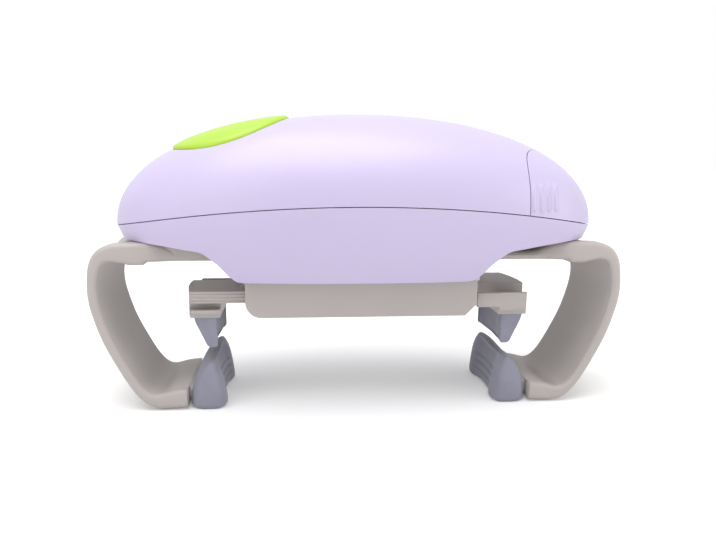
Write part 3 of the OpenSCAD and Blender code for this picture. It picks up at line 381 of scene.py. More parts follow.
def skin_w(u, v, o=0.0):
    """Height w of the body surface above u, v: w moves by the height error SETTLE times."""
    w = 0 * u
    for _ in range(SETTLE):
        p = lean(u, v, w)
        w = w + (body_z(p[..., 0], v, o) - p[..., 2]) * math.cos(TILT)
    return w


print("button centre height:", round(BZ, 2))

# %% [markdown]
# ## Upper shell
# The shell is a grid along the body and over the arch. A window is left open around the button, and a second
# patch fills it from the window's border to a true circle, so the hole has a clean edge and no cut is needed.
# The same two patches 2.2 mm further in make the inner wall, and strips close the rims.

# %% Upper shell
NX, NV = 110, 120  # cells along the body and over the arch
I0, I1, J0, J1 = 34, 77, 27, 93  # first and last row and column of the open window
HOLE_ROWS = 13  # rows of the patch between the hole and the window


def shell_sheet(o):
    """Grid of the upper shell at offset o; rows crowd towards the tip by 1 - cos."""
    v = np.linspace(0, math.pi, NV + 1)[None, :]
    t = np.linspace(0, 1, NX + 1)[:, None]
    return arch(-(HL - o) + (seam_x(v) + HL - o) * (1 - np.cos(t * math.pi / 2)), v, o)


def window_ring(g):
    """Border points of the open window, once round."""
    return np.concatenate([g[I0:I1, J0], g[I1, J0:J1], g[I1:I0:-1, J1], g[I0, J1:J0:-1]])


def hole_sheet(o):
    """Rows from the button hole's circle to the window's border, heights from the body surface."""
    border = window_ring(shell_sheet(o))
    a = np.arctan2(border[:, 1], (border[:, 0] - BX) / math.cos(TILT))
    u, v = HOLE_R * np.cos(a), HOLE_R * np.sin(a)
    circle = lean(u, v, skin_w(u, v, o))
    t = np.linspace(0, 1, HOLE_ROWS)[:, None]
    x, y = lerp(circle[:, 0], border[:, 0], t), lerp(circle[:, 1], border[:, 1], t)
    z = body_z(x, y, o) + SEAM / 2 * smoothstep(t)
    rows = np.stack([x, y, z], -1)
    rows[-1] = border
    return rows


def upper_shell():
    """Outer and inner sheets with the open window, the two hole patches and the strips that close them."""
    out, inn = shell_sheet(0), shell_sheet(WALL)
    keep = np.ones((NX, NV), bool)
    keep[I0:I1, J0:J1] = False
    rim, rim_in = hole_sheet(0), hole_sheet(WALL)
    wall = np.stack([rim[0], lerp(rim[0], rim_in[0], 0.5), rim_in[0]])
    return ([patch(out, keep=keep), patch(inn, keep=keep), patch(rim, wrap_c=True),
             patch(rim_in, wrap_c=True), patch(wall, wrap_c=True)] + rim_strips(out, inn))


shell_grid = shell_sheet(0)
print("window x", shell_grid[[I0, I1], NV // 2, 0].round(1), "y", shell_grid[(I0 + I1) // 2, J0, 1].round(1))
piece("upper_shell_form", upper_shell(), "housing", lilac_abs, ["upper_shell"], bevel=0.3)

# %% [markdown]
# ## Battery cover
# The end cap is the last stretch of the same body surface, from the swept seam to the tip. Four upright grip
# ribs stand at the seam on each side. They are part of the surface: the point is pushed out along the width
# by a rounded bump, so they melt into the cap as moulded ribs do.

# %% Battery cover
RIB_X = (60.9, 64.1, 67.3, 70.5)
RIB_LOW, RIB_HIGH, RIB_FADE = 75.5, 86.5, 1.5  # heights where the ribs begin and end, and over what they fade
RIB_PROUD = RIB_HALF = 0.75


def cover_sheet(o, ribs):
    """Grid of the cap at offset o; at each x of RIB_X a rib stands out by RIB_PROUD exp(-(dx/RIB_HALF)^4)."""
    v = np.linspace(0, math.pi, 161)[None, :]
    t = np.linspace(0, 1, 101)[:, None]
    x0 = seam_x(v) + SEAM
    grid = arch((HL - o) - (HL - o - x0) * (1 - np.cos(t * math.pi / 2)) ** 1.25, v, o)
    if ribs:
        x, z = grid[..., 0], grid[..., 2]
        across = sum(np.exp(-((x - c) / RIB_HALF) ** 4) for c in RIB_X)
        along = smoothstep((z - RIB_LOW) / RIB_FADE) * smoothstep((RIB_HIGH - z) / RIB_FADE)
        grid[..., 1] += np.sign(grid[..., 1]) * RIB_PROUD * across * along
    return grid


cover_out, cover_in = cover_sheet(0, True), cover_sheet(WALL, False)
piece("battery_cover_form", [patch(cover_out), patch(cover_in)] + rim_strips(cover_out, cover_in),
      "battery_cover", lilac_abs, ["battery_cover"], bevel=0.3)

# %% [markdown]
# ## Lower shell
# Below the parting line the body draws in like a bowl to the hub, while the skirt stays short over the arms.
# The surface is a closed loop, swept round the plan: each loop runs down the outside to the lower edge and
# back up the inside. How far the wall draws in is the depth below the parting line raised to the power 1.6.
# A floor plate with the bore for the carriage closes the hub, and a low sill stands at each of its ends.

# %% Lower shell
HUB_Z, HUB_HALF, SHARE = 49.5, 44.0, 0.667  # underside of the hub, its half length, its share of the width
DRAW = 1.6  # power of the draw towards the hub
RIM_X = [0, 41, 44, 47, 53, 66.7, 79.2, 94]
RIM_Z = [49.5, 49.5, 52, 56.3, 61.3, 63.1, 64.1, 64.1]
RIM_SHIFT = 2.7  # the level part reaches twice this much further on the left
RIM_BLUR = ((-2, 0.1), (-1, 0.2), (0, 0.4), (1, 0.2), (2, 0.1))  # offset in mm and weight


def rim_z(x):
    """Lower edge of the shell: level under the hub, then climbing to the short skirt, its corners blurred."""
    x = np.abs(x + RIM_SHIFT) - RIM_SHIFT
    return sum(np.interp(x + d, RIM_X, RIM_Z) * w for d, w in RIM_BLUR)


def ring(a, o):
    """Plan point of the parting edge at angle a."""
    return (HL - o) * signed(np.cos(a), 2 / E_PLAN), (HB - o) * signed(np.sin(a), 2 / E_PLAN)


def bowl(a, z, o):
    """Point at angle a and height z: y shrinks by (1 - SHARE) t^DRAW with t the depth share to the hub."""
    x, y = ring(a, o)
    t = np.clip((split(x) - z) / (split(x) - HUB_Z), 0, None)
    shorter, narrower = 1 - 0.1 * t * (np.abs(x) / HL) ** 6, 1 - (1 - SHARE) * t ** DRAW
    return np.stack([x * shorter, y * narrower, z + 0 * x], -1)


def lower_loops(o, n):
    """n rows from the parting edge down to the lower edge, for 360 angles that miss the exact tips."""
    a = around(360)[None, :] + 0.003
    x = ring(a, o)[0]
    top = split(x) - SEAM / 2
    return bowl(a, lerp(top, rim_z(x), np.linspace(0, 1, n)[:, None]), o)


def plate(outline, hole, z0, z1, n=4):
    """Flat plate between z0 and z1: n + 1 rows from the hole to the outline, and both edges."""
    t = np.linspace(0, 1, n + 1)[:, None, None]
    flat = lerp(hole + 0 * outline, outline, t)
    low, high = [np.concatenate([flat, 0 * flat[..., :1] + z], -1) for z in (z0, z1)]
    edges = [np.stack([low[row], high[row]]) for row in (-1, 0)]
    return [patch(grid, wrap_c=True) for grid in (low, high, *edges)]


def sill(x0, x1, half, z0, z1):
    """Box between x0 and x1 from -half to half along y: four sides carried along y and two ends."""
    corners = [(x0, z0), (x0, z1), (x1, z1), (x1, z0), (x0, z0)]
    sides = [[[(x, -half, z), (x, half, z)] for x, z in pair] for pair in zip(corners, corners[1:])]
    ends = [[[(x, y, z) for z in (z0, z1)] for x in (x0, x1)] for y in (-half, half)]
    return [patch(np.array(face)) for face in sides + ends]


BOWL_ROWS, FLOOR_T, FLOOR_POWER, BORE_R = 26, 2.2, 0.35, 15.06
SILL_IN, SILL_OUT, SILL_HALF, SILL_TOP = 42, 43.9, 24.3, 4.4
bowl_out, bowl_in = lower_loops(0, BOWL_ROWS), lower_loops(WALL, BOWL_ROWS)
turn_a = around(240)
floor_x = HUB_HALF * signed(np.cos(turn_a), FLOOR_POWER)
floor_y = signed(np.sin(turn_a), FLOOR_POWER) * (plan(floor_x) * SHARE - 1.0)
bore = BORE_R * np.stack([np.cos(turn_a), np.sin(turn_a)], -1)
hub_parts = plate(np.stack([floor_x, floor_y], -1), bore, HUB_Z + 0.1, HUB_Z + FLOOR_T)
for way in (-1, 1):
    hub_parts += sill(way * SILL_IN, way * SILL_OUT, SILL_HALF, HUB_Z + 0.2, HUB_Z + SILL_TOP)
bowl_loop = patch(np.concatenate([bowl_out, bowl_in[::-1]]), wrap_r=True, wrap_c=True)
piece("lower_shell_form", [bowl_loop] + hub_parts, "housing", lilac_abs, ["lower_shell"], bevel=0.3)

# %% [markdown]
# ## Start button
# The cap follows the shoulder of the body 1.5 mm above it, which is why it reads as a smooth green pebble and
# not as a flat disc. Rings run from the middle out over a rounded edge and straight down into the hole. A
# round stem under the cap stands over the switch, as a moulded pin would.

# %% Start button
PROUD, EDGE_DROP, EDGE_R = 1.5, 0.25, 1.4  # height over the body, how much less at the edge, radius of the edge
CAP_LOW, CAP_IN, CAP_UNDER = -8.6, 1.8, -0.4  # lower end, wall and underside of the cap
STEM_LOW, STEM_HIGH, STEM_R = -16.85, -0.6, 3.0


def cap_ring(r, a, over=None, level=None):
    """Ring of radius r, either at a height over the body or at a level w of its own."""
    u, v = r * np.cos(a), r * np.sin(a)
    return lean(u, v, skin_w(u, v) + over if level is None else 0 * u + level)


def button_cap():
    """Rings from the middle out: PROUD over the body, round the edge, down the wall and back inside."""
    a = around(192)
    rows = [cap_ring(r, a, PROUD - EDGE_DROP * smoothstep((r - 16) / 6))
            for r in np.concatenate([[0.0], np.linspace(1.5, BR - EDGE_R, 22)])]
    rows += [cap_ring(BR - EDGE_R + EDGE_R * math.sin(k), a, PROUD - EDGE_DROP - EDGE_R * (1 - math.cos(k)))
             for k in np.linspace(0.12, 1, 8) * math.pi / 2]
    rows += [cap_ring(r, a, level=w) for r, w in ((BR, CAP_LOW), (BR - CAP_IN, CAP_LOW), (BR - 1.9, -7.2))]
    rows += [cap_ring(r, a, CAP_UNDER) for r in np.linspace(BR - 3, 0, 8)]
    return patch(np.stack(rows), wrap_c=True)


def rod(low, high, radius, n=24):
    """Round bar between two points: a ring of n points at each end, closed by a row in its centre."""
    d = (high - low) / np.linalg.norm(high - low)
    s = np.cross(d, [0.3, 0.8, 0.1])
    s /= np.linalg.norm(s)
    a = around(n)[:, None]
    circle = radius * (np.cos(a) * s + np.sin(a) * np.cross(d, s))
    return patch(np.stack([low + 0 * circle, low + circle, high + circle, high + 0 * circle]), wrap_c=True)


stem = rod(*[lean(np.array(0.0), 0.0, w) for w in (STEM_LOW, STEM_HIGH)], STEM_R)
piece("start_button_form", [button_cap(), stem], "start_button", lime_abs, ["start_button"],
      bevel=0.2)

# %% [markdown]
# ## Arms
# Each arm is a strap that leaves the hub as a flat ledge, climbs a ramp, bends round and sweeps in under the
# jar. Its side rims stand proud of a hollow channel on the inside, which runs out where the foot rises to the
# boot, and two shallow steps follow the outside of the bend. The section is a closed loop that is carried
# along two guide curves, the outer and the inner one, because a moulded strap is drawn the same way: by its
# side view. The outer curve was fitted to the photograph, and the inner one lies one wall further in.

# %% Arm curves
def curve(points, n):
    """Catmull-Rom spline through points, n steps a span, last point kept."""
    p = np.array(points, float)
    q = np.concatenate([p[:1], p, p[-1:]])
    t = (np.arange(n) / n)[None, :, None]
    a, b, c, d = q[:-3, None], q[1:-2, None], q[2:-1, None], q[3:, None]
    s = 0.5 * (2 * b + (c - a) * t + (2 * a - 5 * b + 4 * c - d) * t ** 2 + (3 * b - a - 3 * c + d) * t ** 3)
    return np.concatenate([s.reshape(-1, p.shape[1]), p[-1:]])


REACH, ARM_WALL = 101.2, 4.0  # furthest x of the arm and its wall round the bend
LEDGE_Z, RACK_Z = 55.6, 63.8  # underside and top of the level part
BEND = [(-15.2, 1), (-9.2, 0.994), (-4, 0.957), (-1.0, 0.88), (0, 0.762), (-0.3, 0.655), (-2.1, 0.537),
        (-5.1, 0.403), (-9.8, 0.254), (-14.6, 0.125), (-18.9, 0.047), (-23.5, 0.012), (-29.4, 0.01),
        (-34.8, 0.016)]  # x from the furthest point, share of the rack's height
SPAN = 10  # stations between two points of the bend
HALF_LEDGE, HALF_FOOT = 19.0, 21.45  # half widths at the ledge and from the bend on
CHANNEL, FOOT_RISE, LEDGE_STEP, STEP_DEEP = 1.9, 3.2, 4.3, 0.7

outer = curve([(REACH + x, RACK_Z * z) for x, z in BEND], SPAN)
along = np.gradient(outer, axis=0)
along /= np.linalg.norm(along, axis=1)[:, None]
inward = np.stack([along[:, 1], -along[:, 0]], -1)
k = np.arange(len(outer)) / 2.5
thick = ARM_WALL + (RACK_Z - LEDGE_Z - ARM_WALL) * np.clip(1 - k / 17, 0, None) ** 1.3
inner = outer + thick[:, None] * inward
outer += 0.04 * inward
ledge_x = np.concatenate([np.linspace(*span)[:-1] for span in ((45, 66, 12), (66, 78, 14), (78, 86, 10))])
ledge_top = RACK_Z - LEDGE_STEP + LEDGE_STEP * smoothstep((ledge_x - 65) / 13)
ledge_low = LEDGE_Z + 1.1 * smoothstep((ledge_x - 50) / 4) * smoothstep((80.4 - ledge_x) / 0.8)
outer = np.concatenate([np.stack([ledge_x, ledge_top], -1), outer])
inner = np.concatenate([np.stack([ledge_x, ledge_low], -1), inner])

# The foot rises towards the boot, and only there, which is past station 100
rise = smoothstep((86 - inner[:, 0]) / 17) * (np.arange(len(inner)) > 100)
inner[:, 1] += FOOT_RISE * rise
hollow = np.concatenate([0 * ledge_x, CHANNEL * smoothstep(k / 12)]) * (1 - rise)
width = HALF_LEDGE + (HALF_FOOT - HALF_LEDGE) * smoothstep((outer[:, 0] - 68) / 12)
width[int(np.argmax(outer[:, 0])):] = HALF_FOOT

# Three last stations draw in to a tongue that ends inside the boot
end_x = np.array([66.2, 65.9, 63.4])
end_top = inner[-1, 1] - np.array([0.1, 0.3, 0.5])
outer = np.concatenate([outer, np.stack([end_x, [1.3, 2.4, 2.6]], -1)])
inner = np.concatenate([inner, np.stack([end_x, end_top], -1)])
width, hollow = np.concatenate([width, [20.9, 16.5, 16.5]]), np.concatenate([hollow, 0 * end_x])
station = np.arange(len(outer))
steps = STEP_DEEP * smoothstep((station - 14) / 8) * smoothstep((104 - station) / 40)
print("arm stations:", len(outer), "wall at the bend:", thick[30].round(2))

# %% [markdown]
# The loop across the strap runs along the outside with rounded corners, round the rim and back over the
# channel. Its depth share is 0 on the outer curve and 1 on the inner one. The rack bar, whose teeth the arm
# pinion drives, lies inside the ledge, so it is a second closed body in the same piece, like a moulded-in bar.

# %% Arm and rack forms
CORNER, HOLLOW_POWER, RIM_FLAT = 1.8, 2.6, 1.2  # rounding of the rim, power of the channel, flat of the rim
STEP_Y, STEP_RUN = (16.2, 11.4), 0.7  # where the outside steps down and over what distance


def loop(n=22):
    """Section of the ledge as (y, side, depth): side 0 outside, 1 inside, with quarter rounds of CORNER."""
    k, h, c = np.linspace(0, math.pi / 2, 6), HALF_LEDGE, CORNER
    y0 = (h - c) * np.sin(np.linspace(-math.pi / 2, math.pi / 2, 2 * n + 1))
    rows = [(y, 0.0, 0.0) for y in y0]
    rows += [(h - c + c * math.sin(a), 0.0, c * (1 - math.cos(a))) for a in k[1:]]
    rows += [(h - c + c * math.cos(a), 1.0, -c * (1 - math.sin(a))) for a in k]
    rows += [(y, 1.0, 0.0) for y in y0[::-1]][1:]
    rows += [(-h + c - c * math.sin(a), 1.0, -c * (1 - math.cos(a))) for a in k[1:]]
    rows += [(-h + c - c * math.cos(a), 0.0, c * (1 - math.sin(a))) for a in k[:-1]]
    return np.array(rows)


def strap():
    """The loop carried from the outer to the inner curve.

    The inside dips by hollow (1 - |y/rim|^HOLLOW_POWER), and the outside steps down at each y of STEP_Y.
    """
    y, side, depth = loop().T
    gap = np.linalg.norm(inner - outer, axis=1)[:, None]
    across = ((inner - outer) / gap)[:, None, :]
    half = width[:, None]
    ys = y * half / HALF_LEDGE
    dip = side * hollow[:, None] * np.clip(1 - (np.abs(ys) / (half - RIM_FLAT)) ** HOLLOW_POWER, 0, None)
    down = (1 - side) * steps[:, None] * sum(smoothstep((c - np.abs(ys)) / STEP_RUN) for c in STEP_Y)
    xz = outer[:, None, :] + across * (side * gap + depth - dip + down)[..., None]
    return patch(capped(np.stack([-xz[..., 0], ys, xz[..., 1]], -1)), wrap_c=True)


def rack(n, x0, x1, back, module=1.5, press=25, play=0.2):
    """Toothed and flat line of a rack in mesh with a gear of n teeth.

    Teeth point to +y on the pitch line y = -n module/2, tip 0.7 and root 0.95 module from it, with flanks
    at press degrees and play between the teeth; the flat line is y = -back.
    """
    tip, root = 0.7 * module, 0.95 * module
    r, p, slope = n * module / 2, math.pi * module, math.tan(math.radians(press))
    half = (p / 2 - play / 2) / 2
    ht, hr = half - tip * slope, half + root * slope
    c = p * (np.arange(math.ceil((x0 + hr) / p - 0.5), math.floor((x1 - hr) / p - 0.5) + 1) + 0.5)
    teeth = np.stack([c[:, None] + np.array([-hr, -ht, ht, hr]),
                      np.array([-root, tip, tip, -root]) - r + 0 * c[:, None]], -1).reshape(-1, 2)
    upper = np.concatenate([[[x0, -r - root]], teeth, [[x1, -r - root]]])
    return upper, np.stack([upper[:, 0], 0 * upper[:, 0] - back], -1)


def rack_bar(upper, lower, z0, z1):
    """Bar between two lines, as one loop of four corners carried along the bar."""
    corners = [np.concatenate([line, 0 * line[:, :1] + z], -1)
               for line, z in ((upper, z0), (upper, z1), (lower, z1), (lower, z0))]
    grid = np.stack(corners, 1)
    caps = [patch(np.stack([end[[0, 1]], end[[3, 2]]])) for end in (grid[0], grid[-1])]
    return [patch(grid, wrap_c=True)] + caps


def turned(patches, turn):
    """The same patches turned half round about Z when turn is set: the right side is the left one turned."""
    return [(p * np.array([-1, -1, 1]) if turn else p, q) for p, q in patches]


SIDES = (("left", False), ("right", True))
ARM_TEETH, RACK_FROM, RACK_TO, RACK_BACK = 12, -59, 10, 18.93
BLOCK_FROM, BLOCK_TO, BLOCK_FRONT, BLOCK_BACK = -80.2, -45, 10.5, 19.03
block_lines = [np.array([[BLOCK_FROM, -y], [BLOCK_TO, -y]]) for y in (BLOCK_FRONT, BLOCK_BACK)]
rack_lines = rack(ARM_TEETH, RACK_FROM, RACK_TO, RACK_BACK)
arm_patches = ([strap()] + rack_bar(*rack_lines, LEDGE_Z + 4.2, RACK_Z - 0.02)
               + rack_bar(*block_lines, LEDGE_Z + 1.9, RACK_Z - 0.04))
for side, turn in SIDES:
    piece(f"arm_{side}_form", turned(arm_patches, turn), f"arm_{side}", grey_abs, [f"arm_{side}"],
          bevel=0.25)

# %% [markdown]
# ## Rubber boots
# A boot is pulled over the end of each arm. Its gripping face is hollow in plan, to sit against a round jar,
# its top dips between a front and a back lobe, and it leans in towards the top. Level sections are stacked
# and each is a rounded outline whose inner side is pushed back by the hollow.

# %% Boots
BOOT_IN, BOOT_H, BOOT_HALF = 50.3, 18.3, 21.45  # x of the gripping face, height and half width
BOOT_SIDE = [(0, 3), (0.6, 7), (1.6, 11.5), (3, 15.2), (4.6, 17.2), (6.6, 18), (9.2, 17.3), (11.9, 14.6),
             (14, 10.5), (15.3, 6.5), (15.8, 3)]  # distance behind the face and height, for an 18 mm boot
BOOT_HOLLOW, BOOT_LOBE, BOOT_DROP = 3.2, 1.1, 0.9  # hollow in plan, end lobes, dip of the top
GROOVE_Z, GROOVE_HALF, GROOVE_DEEP = (4.5, 7.5, 10.5), 0.55, 0.55
SHOULDER = 11  # height from which the ends draw in and the top dips


def boot_level(z, side, top):
    """Outline at height z: a rounded shape between the inner and the outer side, hollow and grooved inside."""
    a = around(200)
    cx, cy = signed(np.cos(a), 0.55), signed(np.sin(a), 0.4)
    zt = side[top, 1]
    x0 = np.interp(z, side[:top + 1, 1], side[:top + 1, 0])
    x1 = np.interp(z, side[top:, 1][::-1], side[top:, 0][::-1])
    foot = 1.3 * max(0.0, 1 - z / 1.6) ** 2
    end = 3.2 * (1 - math.sqrt(max(0.0, 1 - (max(z - SHOULDER, 0) / (zt - SHOULDER)) ** 2)))
    half, mid = (x1 - x0) / 2 - foot, (x1 + x0) / 2
    y = (BOOT_HALF - foot - end) * cy
    inside = smoothstep(-cx * 1.2 + 0.2)
    lobe = BOOT_LOBE * (np.exp(-((np.abs(y) - 14.5) / 3.2) ** 2) - np.exp(-(y / 12) ** 4))
    dish = (BOOT_HOLLOW * (1 - (y / 21.5) ** 2) - 0.5 * lobe) * smoothstep((half - 0.5) / 4)
    groove = GROOVE_DEEP * sum(np.exp(-((z - c) / GROOVE_HALF) ** 4) for c in GROOVE_Z)
    x = mid + half * cx + dish * inside + groove * (inside > 0.9) * smoothstep((12.5 - np.abs(y)) / 1.5)
    drop = BOOT_DROP * smoothstep((z - SHOULDER) / (zt - SHOULDER)) * np.exp(-(y / 9) ** 2)
    return np.stack([-BOOT_IN - x, y, z - drop + 0 * y], -1)


def boot():
    """Levels of a leaning wedge, close together at the foot, at the grooves and under the top."""
    side = curve(BOOT_SIDE, 16) * [1, BOOT_H / 18]
    top = int(np.argmax(side[:, 1]))
    crown = side[top, 1] - 12.01  # stops 0.01 mm short, so the last level still has a width
    heights = np.concatenate([[0.0, 0.25, 0.7, 1.3, 2.1], np.linspace(3, 12, 45),
                              12 + crown * np.sin(np.linspace(0, math.pi / 2, 20))[1:]])
    return patch(capped(np.stack([boot_level(z, side, top) for z in heights])), wrap_c=True)


for side, turn in SIDES:
    piece(f"boot_{side}_form", turned([boot()], turn), f"arm_{side}", blue_rubber, [f"boot_{side}"],
          angle=60)

# %% [markdown]
# ## Jaw teeth
# Under each jaw hangs a rubber wedge. Its gripping face is upright, slightly hollow in plan and fluted, and
# its back leans in to a blunt tip. Again level sections are stacked; the flutes are a cosine along the width.

# %% Jaw teeth
TOOTH_TOP, TOOTH_H, TOOTH_HALF = 34.88, 11.68, 17.05  # height of the rim, length down to the tip, half width
TOOTH_IN = 54.65  # x of the gripping face
TOOTH_BACK = ([0, 0.2, 0.93, 1], [63.75, 63.1, 59.0, 58.4])  # share of the way down and x of the back
TOOTH_HOLLOW, FLUTE, FLUTE_PITCH = 1.8, 0.45, 2.46
TIP_FROM = 0.9  # share of the way down where the blunt tip begins


def tooth_level(t):
    """Outline at the share t of the way down: upright hollow fluted face, leaning back, rounded tip."""
    a = around(480)
    cx, cy = signed(np.cos(a), 0.16), signed(np.sin(a), 0.1)
    end = math.sqrt(max(0.0, 1 - (max(t - TIP_FROM, 0) / (1 - TIP_FROM)) ** 2))
    back = np.interp(t, *TOOTH_BACK)
    mid, half = (TOOTH_IN + back) / 2, (back - TOOTH_IN) / 2 * lerp(0.5, 1, end)
    y = TOOTH_HALF * cy * lerp(0.97, 1, end)
    hollow_y = TOOTH_HOLLOW * (1 - (y / 17.1) ** 2) * smoothstep(t / 0.03)
    flute = FLUTE * (0.5 - 0.5 * np.cos(2 * math.pi * y / FLUTE_PITCH)) * smoothstep((t - 0.1) / 0.05) * end
    x = mid + half * cx + (hollow_y + flute * (np.abs(y) < 15.9)) * smoothstep(-cx * 1.2 + 0.2)
    return np.stack([-x, y, TOOTH_TOP - TOOTH_H * t + 0 * y], -1)


def tooth():
    """Levels from the rim to the tip, closer together where the tip rounds off."""
    shares = np.concatenate([np.linspace(0, TIP_FROM, 30),
                             TIP_FROM + 0.1 * np.sin(np.linspace(0, math.pi / 2, 8))[1:]])
    return patch(capped(np.stack([tooth_level(t) for t in shares])), wrap_c=True)


for side, turn in SIDES:
    piece(f"tooth_{side}_form", turned([tooth()], turn), f"jaw_{side}", blue_rubber,
          [f"jaw_{side}_pad"], angle=50)

# %% [markdown]
# ## Jaw side rails
# On its plain side each jaw carries a smooth rail along the holder, from the carriage to the round end. It is
# a bar with softened edges that stands just proud of the holder's own wall, so both read as one moulding.

# %% Jaw side rails
RAIL_LOW, RAIL_HIGH, RAIL_R = (-64.3, 16.85, 38.0), (-44.7, 18.74, 43.72), 0.45  # two corners and the rounding


def soft_bar(low, high, r):
    """Bar along x between two corners: a rounded rectangle of radius r, drawn in along an arc at both ends."""
    k = np.linspace(0, math.pi / 2, 5)
    x = np.concatenate([low[0] + r * (1 - np.cos(k)), high[0] - r * (1 - np.cos(k[::-1]))])
    cut = np.concatenate([r * (1 - np.sin(k)), r * (1 - np.sin(k[::-1]))])
    turn = np.concatenate([k + i * math.pi / 2 for i in range(4)])
    corner = np.stack([np.cos(turn), np.sin(turn)], -1)
    sign = np.repeat(np.array([[1, 1], [-1, 1], [-1, -1], [1, -1]]), len(k), axis=0)
    c, h = (np.array(low[1:]) + high[1:]) / 2, (np.array(high[1:]) - low[1:]) / 2
    yz = c + sign * (h - r) + np.maximum(r - cut[:, None, None], 0) * corner
    return patch(capped(np.concatenate([x[:, None, None] + 0 * yz[..., :1], yz], -1)), wrap_c=True)


rail = soft_bar(RAIL_LOW, RAIL_HIGH, RAIL_R)
for side, turn in SIDES:
    piece(f"jaw_{side}_rail", turned([rail], turn), f"jaw_{side}", grey_abs, angle=60)

# %% [markdown]
# ## CAD parts that stay
# The carriage, the jaw holders and the plates already have the right shape. Their meshes are loose triangles,
# so a Weld modifier joins them first, and a small bevel then rounds the moulded edges to catch the light.

# %% Finish the carried-over parts
SOFT_MM = {"carriage": 0.4, "jaw_left": 0.3, "jaw_right": 0.3, "chassis_plate": 0.3}
SOFT_FROM, WELD_M = math.radians(40), 1e-5
for name, bevel_mm in SOFT_MM.items():
    weld = nodes[name].modifiers.new("weld", "WELD")
    weld.merge_threshold = WELD_M
    mod = nodes[name].modifiers.new("soft edges", "BEVEL")
    mod.width, mod.segments, mod.limit_method = bevel_mm / MM, 2, "ANGLE"
    mod.angle_limit, mod.harden_normals = SOFT_FROM, True
print("softened:", list(SOFT_MM))

# %% [markdown]
# ## Floor and surroundings
# A plain sheet of white under and behind the object gives the even ground of a catalogue picture. The floor is
# matt white and adds a little of its own light for the camera only, so it reads as white paper while the
# shadow under the boots stays. The surroundings light the object less than the camera sees of them.

# %% Floor and world
GLOW_NEAR, GLOW_FAR = 0.19, 0.6  # extra white of the paper next to the object and away from it
NEAR_M, FAR_M = 0.2, 0.9
SKY_LIGHT, SKY_SEEN = 0.55, 1.0  # strength of the white surroundings as light and as picture
PAPER_HALF_MM = 4000


def floor_material():
    """Matt white paper; camera and glossy rays see extra white that grows with the distance from the object."""
    m, t, p = start("matt white paper", "#F2F2F2", Roughness=0.9)
    at = add(t, "ShaderNodeTexCoord")
    far = add(t, "ShaderNodeVectorMath", {}, {0: (at, "Object")}, operation="LENGTH")
    gain = add(t, "ShaderNodeMapRange",
               {"From Min": NEAR_M, "From Max": FAR_M, "To Min": GLOW_NEAR, "To Max": GLOW_FAR},
               {"Value": (far, "Value")})
    glow = add(t, "ShaderNodeEmission", {"Color": (1, 1, 1, 1)}, {"Strength": (gain, "Result")})
    both = add(t, "ShaderNodeAddShader", {}, {0: (p, "BSDF"), 1: (glow, "Emission")})
    path = add(t, "ShaderNodeLightPath")
    seen = add(t, "ShaderNodeMath", {}, {0: (path, "Is Camera Ray"), 1: (path, "Is Glossy Ray")},
               operation="MAXIMUM")
    mix = add(t, "ShaderNodeMixShader", {}, {0: (seen, "Value"), 1: (p, "BSDF"), 2: (both, "Shader")})
    t.links.new(mix.outputs["Shader"], t.nodes["Material Output"].inputs["Surface"])
    return m


paper_x, paper_y = np.meshgrid(*[np.linspace(-PAPER_HALF_MM, PAPER_HALF_MM, 9)] * 2)
paper_points, paper_quads = patch(np.stack([paper_x, paper_y, 0 * paper_x], -1))
paper_mesh = bpy.data.meshes.new("paper")
paper_mesh.from_pydata((paper_points / MM).tolist(), [], paper_quads[:, ::-1].tolist())
paper_mesh.materials.append(floor_material())
floor = bpy.data.objects.new("paper", paper_mesh)
bpy.context.scene.collection.objects.link(floor)
world = bpy.data.worlds.new("studio")
bpy.context.scene.world = world
world.use_nodes = True
wt = world.node_tree
bg = wt.nodes["Background"]
path = add(wt, "ShaderNodeLightPath")
seen = add(wt, "ShaderNodeMath", {}, {0: (path, "Is Camera Ray"), 1: (path, "Is Glossy Ray")},
           operation="MAXIMUM")
level = add(wt, "ShaderNodeMapRange", {"To Min": SKY_LIGHT, "To Max": SKY_SEEN}, {"Value": (seen, "Value")})
wt.links.new(level.outputs["Result"], bg.inputs["Strength"])
bg.inputs["Color"].default_value = (1, 1, 1, 1)
print("floor and world ready")

# %% [markdown]
# ## Lamps
# One broad soft lamp overhead and two weaker ones at the sides: the crown gets its wide highlight, and the
# inner faces of the arms still show. The lamps are low enough for a colour to render about as it is written.

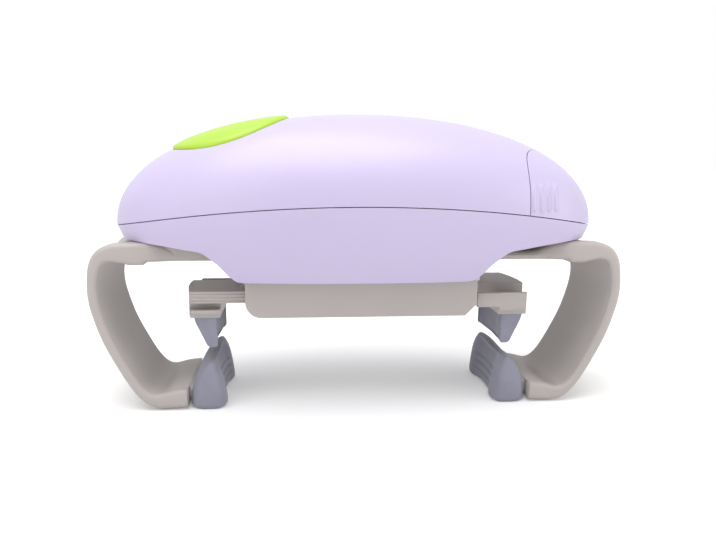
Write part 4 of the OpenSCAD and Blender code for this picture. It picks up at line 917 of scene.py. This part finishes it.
# %% Lamps
def area(name, at, aim, size, watts):
    """Square area lamp of size metres at a point, turned to aim at another point."""
    lamp = bpy.data.lights.new(name, "AREA")
    lamp.shape, lamp.size, lamp.energy = "SQUARE", size, watts
    ob = bpy.data.objects.new(name, lamp)
    bpy.context.scene.collection.objects.link(ob)
    d = np.array(aim, float) - np.array(at, float)
    yaw, pitch = math.atan2(d[1], d[0]), math.atan2(d[2], math.hypot(d[0], d[1]))
    ob.location = at
    ob.rotation_euler = (math.pi / 2 + pitch, 0, yaw - math.pi / 2)


area("overhead", (-0.1, -0.16, 0.85), (0, 0, 0.05), 0.8, 6.6)
area("left fill", (-0.8, -0.6, 0.4), (0, 0, 0.06), 0.6, 1.3)
area("right fill", (0.95, -0.3, 0.2), (0, 0, 0.04), 0.5, 2.3)

# %% [markdown]
# ## Camera
# A least-squares fit of the outlines to the photograph gives a close camera: 271.5 mm in front of the middle
# of the body, 24.5 mm left of it and 96 mm above the table, turned 5.15 degrees right and 9.6 degrees down.
# The focal length is 681 pixels for a picture 716 pixels wide, which is a 34 mm lens on a 36 mm sensor.

# %% Camera
CAM_AT = (-0.0245, -0.2715, 0.096)
YAW, PITCH, ROLL = math.radians(5.15), math.radians(9.6), math.radians(0.45)
FOCAL_PX, PICTURE_PX, SENSOR_MM = 681, 716, 36.0

cam_data = bpy.data.cameras.new("camera")
cam = bpy.data.objects.new("camera", cam_data)
bpy.context.scene.collection.objects.link(cam)
bpy.context.scene.camera = cam
cam_data.sensor_width, cam_data.lens = SENSOR_MM, SENSOR_MM * FOCAL_PX / PICTURE_PX
cam_data.clip_start = 0.01
cam.location = CAM_AT
fwd = np.array([math.sin(YAW) * math.cos(PITCH), math.cos(YAW) * math.cos(PITCH), -math.sin(PITCH)])
level_x = np.array([math.cos(YAW), -math.sin(YAW), 0.0])
level_y = np.cross(level_x, fwd)
cam_x = math.cos(ROLL) * level_x + math.sin(ROLL) * level_y
cam_y = math.cos(ROLL) * level_y - math.sin(ROLL) * level_x
cam.rotation_mode = "XYZ"
cam.rotation_euler = Matrix(np.stack([cam_x, cam_y, -fwd], -1).tolist()).to_euler()
bpy.context.scene.view_settings.view_transform = "Standard"
print("camera at", tuple(cam.location), "lens", round(cam_data.lens, 2))
